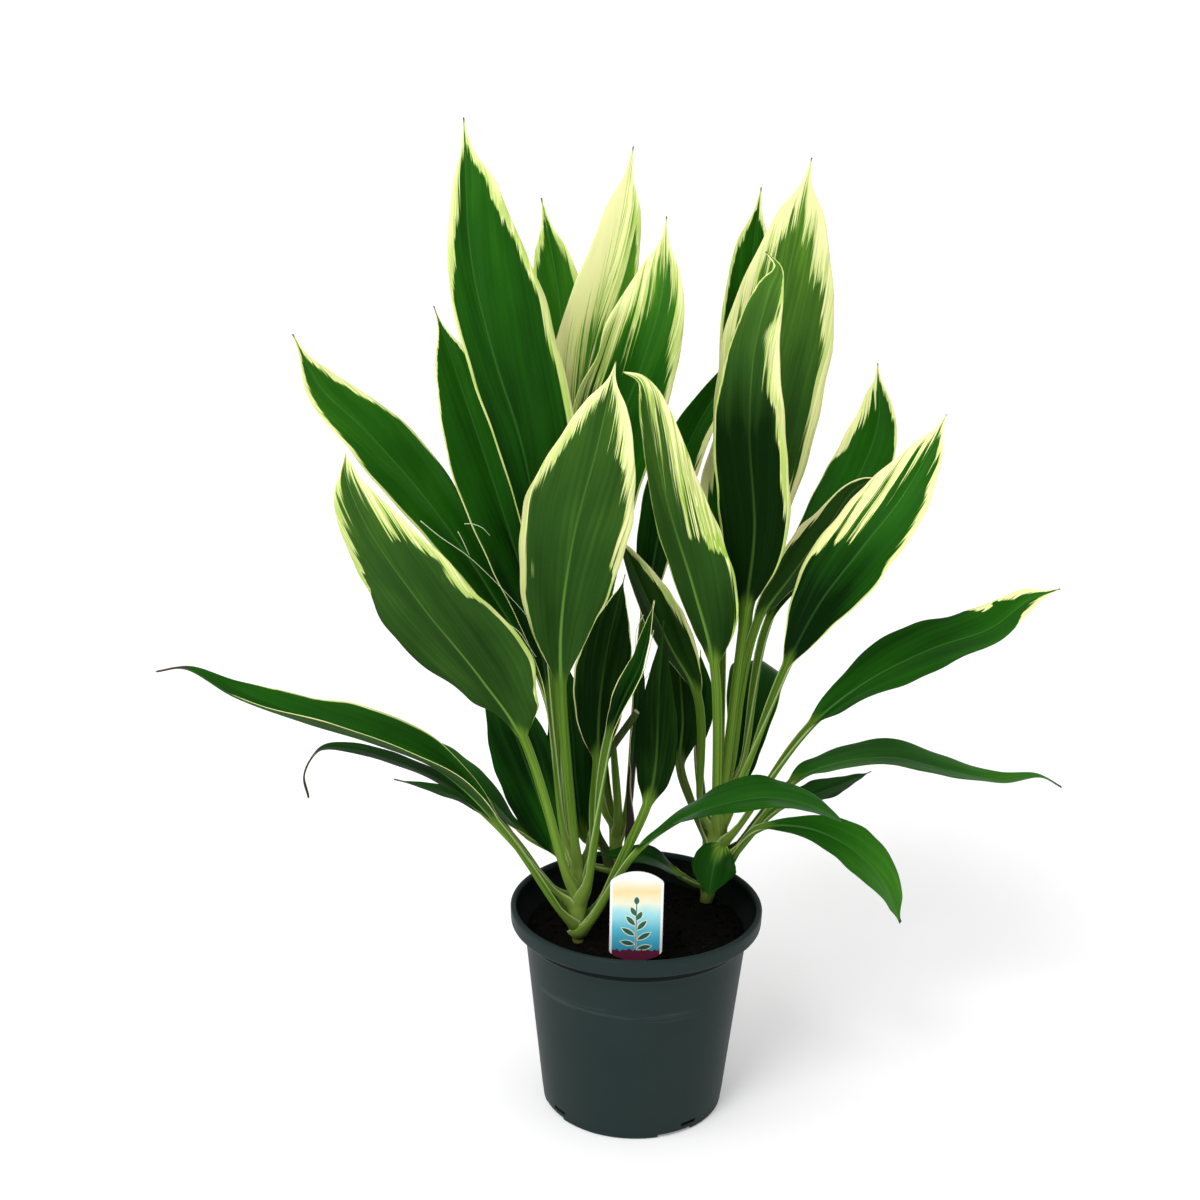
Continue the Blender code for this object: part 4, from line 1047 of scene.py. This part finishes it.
def make_cut_stalk():
    """The grooved stalk that is left of a leaf, with its pale cut end."""
    line, _ = smooth_route([Vector(place) * MM for place in CUT_STALK_ROUTE], 14)
    points = []
    normal = Vector((0.8, 0.5, 0.2))
    for i, (place, tangent) in enumerate(zip(line, tangents(line))):
        normal = (normal - tangent * normal.dot(tangent)).normalized()
        side_way = tangent.cross(normal)
        radius = blend(*CUT_STALK_RADII, i / (len(line) - 1)) * MM
        for k in range(CUT_STALK_SIDES):
            angle = 2 * math.pi * k / CUT_STALK_SIDES
            from_groove = (angle - math.pi / 2 + math.pi) % (2 * math.pi) - math.pi
            groove = 1 - 0.38 * math.exp(-(from_groove / 0.55) ** 2)
            rim = side_way * math.cos(angle) + normal * math.sin(angle) * 0.85
            points.append(place + rim * radius * groove)
    faces = tube_faces(len(line), CUT_STALK_SIDES)
    kinds = [0] * (len(faces) - 1) + [1]
    finishes = make_old_stalk_finish(), make_cut_finish()
    piece = new_piece("old_cut_stalk", points, faces, finishes, "cut_stalk", kinds)
    piece.data.set_sharp_from_angle(angle=math.radians(50))


def make_fibres():
    """Pale dry fibres, each a fine tapering tube."""
    points, faces = [], []
    for route in FIBRES:
        line, _ = smooth_route([Vector(place) * MM for place in route], 8)
        faces += tube_faces(len(line), FIBRE_SIDES, len(points))
        for i, (place, tangent) in enumerate(zip(line, tangents(line))):
            side_way = tangent.cross(Vector((0, 1, 0.3))).normalized()
            up = side_way.cross(tangent)
            radius = blend(*FIBRE_RADII, i / (len(line) - 1)) * MM
            for k in range(FIBRE_SIDES):
                angle = 2 * math.pi * k / FIBRE_SIDES
                points.append(place + (side_way * math.cos(angle) + up * math.sin(angle)) * radius)
    new_piece("dry_fibres", points, faces, (make_thread_finish(),))


# Pot, soil and label

POT_HEIGHT = 145 * MM
RIM_RADIUS = 85 * MM
RIM_BAND = 12 * MM
NECK_RADIUS = 75 * MM
NECK_HEIGHT = POT_HEIGHT - 21 * MM
BASE_RADIUS = 61.5 * MM
FOOT_RING = 50 * MM                # inner radius of the ring that the pot stands on
PAD_RADIUS = 15 * MM               # the pad in the middle of the underside
FLOOR_UNDER = 4 * MM
FLOOR_TOP = 6 * MM
WALL = 2 * MM
ROUNDING = 2 * MM                  # radius of the rim's and the foot's edges
POT_STEPS = 160
DRAIN_SLOT = (6 * MM, 12 * MM, 2.8 * MM)    # depth, width and height of the box that cuts it
SLOT_HEIGHT = 6.4 * MM
SLOT_TURN = -53                    # degrees about the pot, and again at every quarter turn
FOOT_NOTCH = (30 * MM, 26 * MM, 5 * MM)
NOTCH_TURN = -62

SOIL_TOP = 128 * MM
SOIL_RINGS = 46
SOIL_STEPS = 120
CRUMBS = 420
CRUMB_SIDES = 5

LABEL_PLACE = (LABEL_SIDE * MM, -55 * MM, 0)
CARD_HALF = 17.25 * MM
CARD_TOP = 194 * MM
CARD_ARCH = 7 * MM                 # height of its arched top
CARD_THICK = 1 * MM
STAKE_HALF = 5.5 * MM


def arc(centre, radius, start, end, steps):
    points = []
    for i in range(steps + 1):
        angle = math.radians(blend(start, end, i / steps))
        points.append((centre[0] + radius * math.cos(angle), centre[1] + radius * math.sin(angle)))
    return points


def wall_radius(height):
    return BASE_RADIUS + (NECK_RADIUS - BASE_RADIUS) * height / NECK_HEIGHT


def pot_rings():
    """The pot's profile as (radius, height): down the outside, under the floor and up the inside."""
    band_foot = POT_HEIGHT - RIM_BAND
    lip = RIM_RADIUS - ROUNDING
    rings = arc((lip, POT_HEIGHT - ROUNDING), ROUNDING, 90, 10, 6)
    rings += [(RIM_RADIUS - 0.1 * MM, POT_HEIGHT - 4 * MM), (RIM_RADIUS - 0.3 * MM, band_foot + 3 * MM)]
    rings += arc((lip - 0.4 * MM, band_foot + ROUNDING), ROUNDING, -10, -80, 5)
    rings += [(NECK_RADIUS + 5.0 * MM, band_foot - 1.0 * MM), (NECK_RADIUS + 3.0 * MM, band_foot - 3 * MM),
              (NECK_RADIUS + 1.6 * MM, band_foot - 5.2 * MM), (NECK_RADIUS + 0.8 * MM, NECK_HEIGHT + 2 * MM),
              (NECK_RADIUS + 0.25 * MM, NECK_HEIGHT + 0.6 * MM), (NECK_RADIUS, NECK_HEIGHT - 0.6 * MM)]
    rings += [(wall_radius(NECK_HEIGHT * k / 12), NECK_HEIGHT * k / 12) for k in range(11, 0, -1)]
    rings += arc((BASE_RADIUS - ROUNDING, ROUNDING), ROUNDING, 10, -90, 6)
    rings += [(FOOT_RING, 0), (FOOT_RING - 0.5 * MM, 0.4 * MM), (FOOT_RING - 2 * MM, FLOOR_UNDER),
              (PAD_RADIUS + 1 * MM, FLOOR_UNDER), (PAD_RADIUS, 0.3 * MM), (PAD_RADIUS - 0.3 * MM, 0),
              (0.2 * MM, 0), (0.2 * MM, FLOOR_TOP)]
    rings += [(wall_radius(FLOOR_TOP) - WALL - 2 * MM, FLOOR_TOP), (wall_radius(8 * MM) - WALL, 8 * MM),
              (NECK_RADIUS - WALL, NECK_HEIGHT), (NECK_RADIUS - WALL + 0.6 * MM, NECK_HEIGHT + 1 * MM),
              (NECK_RADIUS - WALL + 2 * MM, NECK_HEIGHT + 2 * MM)]
    rings += [(RIM_RADIUS - 5.4 * MM, band_foot + 0.5 * MM), (RIM_RADIUS - 4.4 * MM, band_foot + 2 * MM),
              (RIM_RADIUS - 4 * MM, band_foot + 4 * MM), (RIM_RADIUS - 4 * MM, POT_HEIGHT - 3 * MM)]
    return rings + arc((lip, POT_HEIGHT - ROUNDING), ROUNDING, 170, 100, 5)


def cutting_box(size, height, angle):
    """A box at the pot's foot, turned about the pot's middle by an angle."""
    bpy.ops.mesh.primitive_cube_add(size=1)
    box = bpy.context.object
    box.data.transform(Matrix.Diagonal((*size, 1)))
    box.data.transform(Matrix.Translation((BASE_RADIUS, 0, height)))
    box.data.transform(Matrix.Rotation(math.radians(angle), 4, "Z"))
    return box


def faces_inwards(points, face):
    """Whether a face of the pot lies on its inner wall, below the lip."""
    centre = sum((Vector(points[i]) for i in face), Vector()) / len(face)
    radius = wall_radius(min(centre.z, NECK_HEIGHT))
    if centre.z > NECK_HEIGHT:
        radius = blend(NECK_RADIUS, RIM_RADIUS - 2 * MM, smooth((centre.z - NECK_HEIGHT) / (7 * MM)))
    inside = math.hypot(centre.x, centre.y) < radius - WALL / 2
    return inside and FLOOR_TOP < centre.z < POT_HEIGHT - 3 * MM


def make_pot():
    """The turned pot, from whose foot the drain slots and notches are cut."""
    rings = pot_rings()
    points = []
    for radius, height in rings:
        points += ring_points(radius, height, POT_STEPS)
    faces = turned_faces(len(rings), POT_STEPS)
    last = len(points) - POT_STEPS
    for i in range(POT_STEPS):
        j = (i + 1) % POT_STEPS
        faces.append((last + i, i, j, last + j))
    # Faces on the inner wall take the painted shade of the pot's inside.
    kinds = [int(faces_inwards(points, face)) for face in faces]
    finishes = make_pot_plastic(), make_pot_inside_shade()
    pot = new_piece("nursery_pot", points, faces, finishes, "pot", kinds)
    boxes = [cutting_box(DRAIN_SLOT, SLOT_HEIGHT, SLOT_TURN + 90 * i) for i in range(4)]
    boxes += [cutting_box(FOOT_NOTCH, 0, NOTCH_TURN + 90 * i) for i in range(4)]
    for box in boxes:
        cut = pot.modifiers.new("Cut", "BOOLEAN")
        cut.operation = "DIFFERENCE"
        cut.solver = "EXACT"
        cut.object = box
    bpy.context.view_layer.update()
    shaped = bpy.data.meshes.new_from_object(pot.evaluated_get(bpy.context.evaluated_depsgraph_get()))
    pot.modifiers.clear()
    pot.data = shaped
    for box in boxes:
        bpy.data.objects.remove(box, do_unlink=True)
    shaped.shade_smooth()
    shaped.set_sharp_from_angle(angle=math.radians(35))


def soil_height(x, y):
    place = Vector((x, y, 0))
    rough = noise.fractal(place * 110, 0.8, 2.0, 4) * 1.3 + noise.fractal(place * 35, 1.0, 2.0, 2) * 1.6
    return SOIL_TOP + (rough - 1.0) * MM


def make_soil(edge):
    """Potting mix that fills the pot; its rough top drops a little at its edge."""
    points = [(0, 0, soil_height(0, 0))]
    for ring in range(1, SOIL_RINGS + 1):
        drop = 1.2 * MM * (ring / SOIL_RINGS) ** 8
        for x, y, _ in ring_points(edge * ring / SOIL_RINGS, 0, SOIL_STEPS):
            points.append((x, y, soil_height(x, y) - drop))
    foot = wall_radius(10 * MM) - WALL
    sides = ((edge, SOIL_TOP - 6 * MM), (foot - 0.5 * MM, 10 * MM), (foot - 4 * MM, FLOOR_TOP + 0.4 * MM))
    for radius, height in sides:
        points += ring_points(radius, height, SOIL_STEPS)
    faces = [(0, 1 + i, 1 + (i + 1) % SOIL_STEPS) for i in range(SOIL_STEPS)]
    faces += turned_faces(SOIL_RINGS + len(sides), SOIL_STEPS, 1)
    faces.append(tuple(reversed(range(len(points) - SOIL_STEPS, len(points)))))
    new_piece("potting_mix", points, faces, (make_soil_finish(),), "potting_soil")


def make_crumbs(reach):
    """Loose crumbs and bits of bark on the soil, each a small uneven lump of two rings and two ends."""
    draw = random.Random(7)
    points, faces = [], []
    for _ in range(CRUMBS):
        angle, radius = draw.uniform(0, 2 * math.pi), reach * math.sqrt(draw.random())
        x, y = radius * math.cos(angle), radius * math.sin(angle)
        size = draw.uniform(0.4, 1.5) * MM * draw.choice((1, 1, 1, 1.6))
        stretch = Vector((draw.uniform(0.7, 1.8), draw.uniform(0.7, 1.2), draw.uniform(0.4, 0.8)))
        turn = Quaternion((draw.uniform(-1, 1), draw.uniform(-1, 1), draw.uniform(-2, 2)), draw.uniform(0, 6))
        centre = Vector((x, y, soil_height(x, y) + size * 0.2))
        top = len(points)
        for level, spin in ((1, 0), (0.25, 0.5), (-0.6, 0), (-1, 0)):
            ring = math.sqrt(1 - level * level)
            for k in range(CRUMB_SIDES if ring else 1):
                around = 2 * math.pi * (k + spin) / CRUMB_SIDES
                offset = Vector((ring * math.cos(around), ring * math.sin(around), level))
                offset *= draw.uniform(0.8, 1.15)
                points.append(centre + turn @ (offset * stretch * size))
        upper = top + 1
        lower = upper + CRUMB_SIDES
        bottom = lower + CRUMB_SIDES
        for k in range(CRUMB_SIDES):
            n = (k + 1) % CRUMB_SIDES
            faces.append((top, upper + k, upper + n))
            faces.append((upper + k, lower + k, lower + n, upper + n))
            faces.append((lower + k, bottom, lower + n))
    new_piece("soil_crumbs", points, faces, (make_crumb_finish(),))


def label_outline():
    """The label as (across, height): a pointed stake that widens to a card with an arched top."""
    radius = (CARD_HALF * CARD_HALF + CARD_ARCH * CARD_ARCH) / (2 * CARD_ARCH)
    spread = math.degrees(math.asin(CARD_HALF / radius))
    right = [(1 * MM, 92 * MM), (STAKE_HALF, 104 * MM), (STAKE_HALF, 129 * MM),
             (STAKE_HALF + 1.2 * MM, 130.6 * MM), (CARD_HALF - 4.6 * MM, 132.8 * MM),
             (CARD_HALF - 3.2 * MM, 133.4 * MM), (CARD_HALF - 0.6 * MM, 136 * MM), (CARD_HALF, 137.4 * MM),
             (CARD_HALF, 186 * MM)]
    crown = arc((0, CARD_TOP - radius), radius, 90 - spread + 2, 90 + spread - 2, 28)
    return right + crown + [(-across, height) for across, height in reversed(right)]


def make_label():
    outline = label_outline()
    count = len(outline)
    points = []
    for depth in (-CARD_THICK / 2, CARD_THICK / 2):
        points += [Vector((across, depth, height)) + Vector(LABEL_PLACE) for across, height in outline]
    faces = [tuple(range(count)), tuple(reversed(range(count, 2 * count)))]
    for i in range(count):
        j = (i + 1) % count
        faces.append((i, i + count, j + count, j))
    label = new_piece("plant_label_card", points, faces, (make_label_finish(),), "plant_label")
    bevel = label.modifiers.new("Soft edges", "BEVEL")
    bevel.width = 0.25 * MM
    bevel.segments = 2
    bevel.limit_method = "ANGLE"
    label.data.set_sharp_from_angle(angle=math.radians(40))


# Studio

FLOOR_SIZE = 400
FLOOR_GLOW = 0.18
SKY_LIGHT = 0.72
HORIZON = (0.06, 0.16)             # the sky dims from full white to its own light between these

SUN_LIGHT = 1.3
SUN_PLACE = (-0.9, -1.5, 2.2)
SUN_AIM = (0, 0, 0.3)
SUN_SPREAD = 24                    # degrees
KEY_LIGHT = 7
KEY_PLACE = (-1.1, -0.6, 1.9)
KEY_AIM = (0, 0, 0.35)
KEY_SIZE = 0.9

CAMERA_PLACE = (-0.028, -1.205, 0.7435)
CAMERA_DOWN = 17.70                # degrees that it looks down
CAMERA_ROLL = 0.97
CAMERA_LENS = 59
CAMERA_SENSOR = 36


def make_floor():
    bpy.ops.mesh.primitive_plane_add(size=FLOOR_SIZE)
    floor = bpy.context.object
    floor.name = "studio_floor"
    floor.data.materials.append(make_floor_finish())


def make_sky():
    """An even sky, white at the horizon so that the floor meets it without a line."""
    world = bpy.data.worlds.new("studio")
    bpy.context.scene.world = world
    world.use_nodes = True
    nodes = Nodes(world.node_tree)
    rise = nodes.part(nodes.coordinates("Generated"), 2)
    low, high = HORIZON
    strength = nodes.node("ShaderNodeMapRange", None, {"Value": rise, "From Min": low, "From Max": high,
                                                       "To Min": 1.0, "To Max": SKY_LIGHT})
    sky = world.node_tree.nodes["Background"]
    nodes.feed(sky.inputs["Color"], (1, 1, 1))
    nodes.feed(sky.inputs["Strength"], strength)


def lamp(name, kind, place, aim, power):
    data = bpy.data.lights.new(name, kind)
    data.energy = power
    light = bpy.data.objects.new(name, data)
    light.location = place
    light.rotation_euler = (Vector(aim) - Vector(place)).to_track_quat("-Z", "Y").to_euler()
    bpy.context.scene.collection.objects.link(light)
    return data


def make_lights():
    sun = lamp("even light", "SUN", SUN_PLACE, SUN_AIM, SUN_LIGHT)
    sun.angle = math.radians(SUN_SPREAD)
    key = lamp("key", "AREA", KEY_PLACE, KEY_AIM, KEY_LIGHT)
    key.shape = "DISK"
    key.size = KEY_SIZE


def make_camera():
    data = bpy.data.cameras.new("camera")
    data.sensor_width = CAMERA_SENSOR
    data.lens = CAMERA_LENS
    camera = bpy.data.objects.new("camera", data)
    turn = Matrix.Rotation(math.radians(90 - CAMERA_DOWN), 4, "X")
    turn = turn @ Matrix.Rotation(math.radians(CAMERA_ROLL), 4, "Z")
    camera.matrix_world = Matrix.Translation(CAMERA_PLACE) @ turn
    scene = bpy.context.scene
    scene.collection.objects.link(camera)
    scene.camera = camera
    scene.view_settings.view_transform = "Standard"
    scene.view_settings.look = "None"


soil_edge = wall_radius(SOIL_TOP) - WALL - 0.4 * MM
make_leaves()
make_stems()
make_cut_stalk()
make_fibres()
make_pot()
make_soil(soil_edge)
make_crumbs(soil_edge - 3 * MM)
make_label()
make_floor()
make_sky()
make_lights()
make_camera()
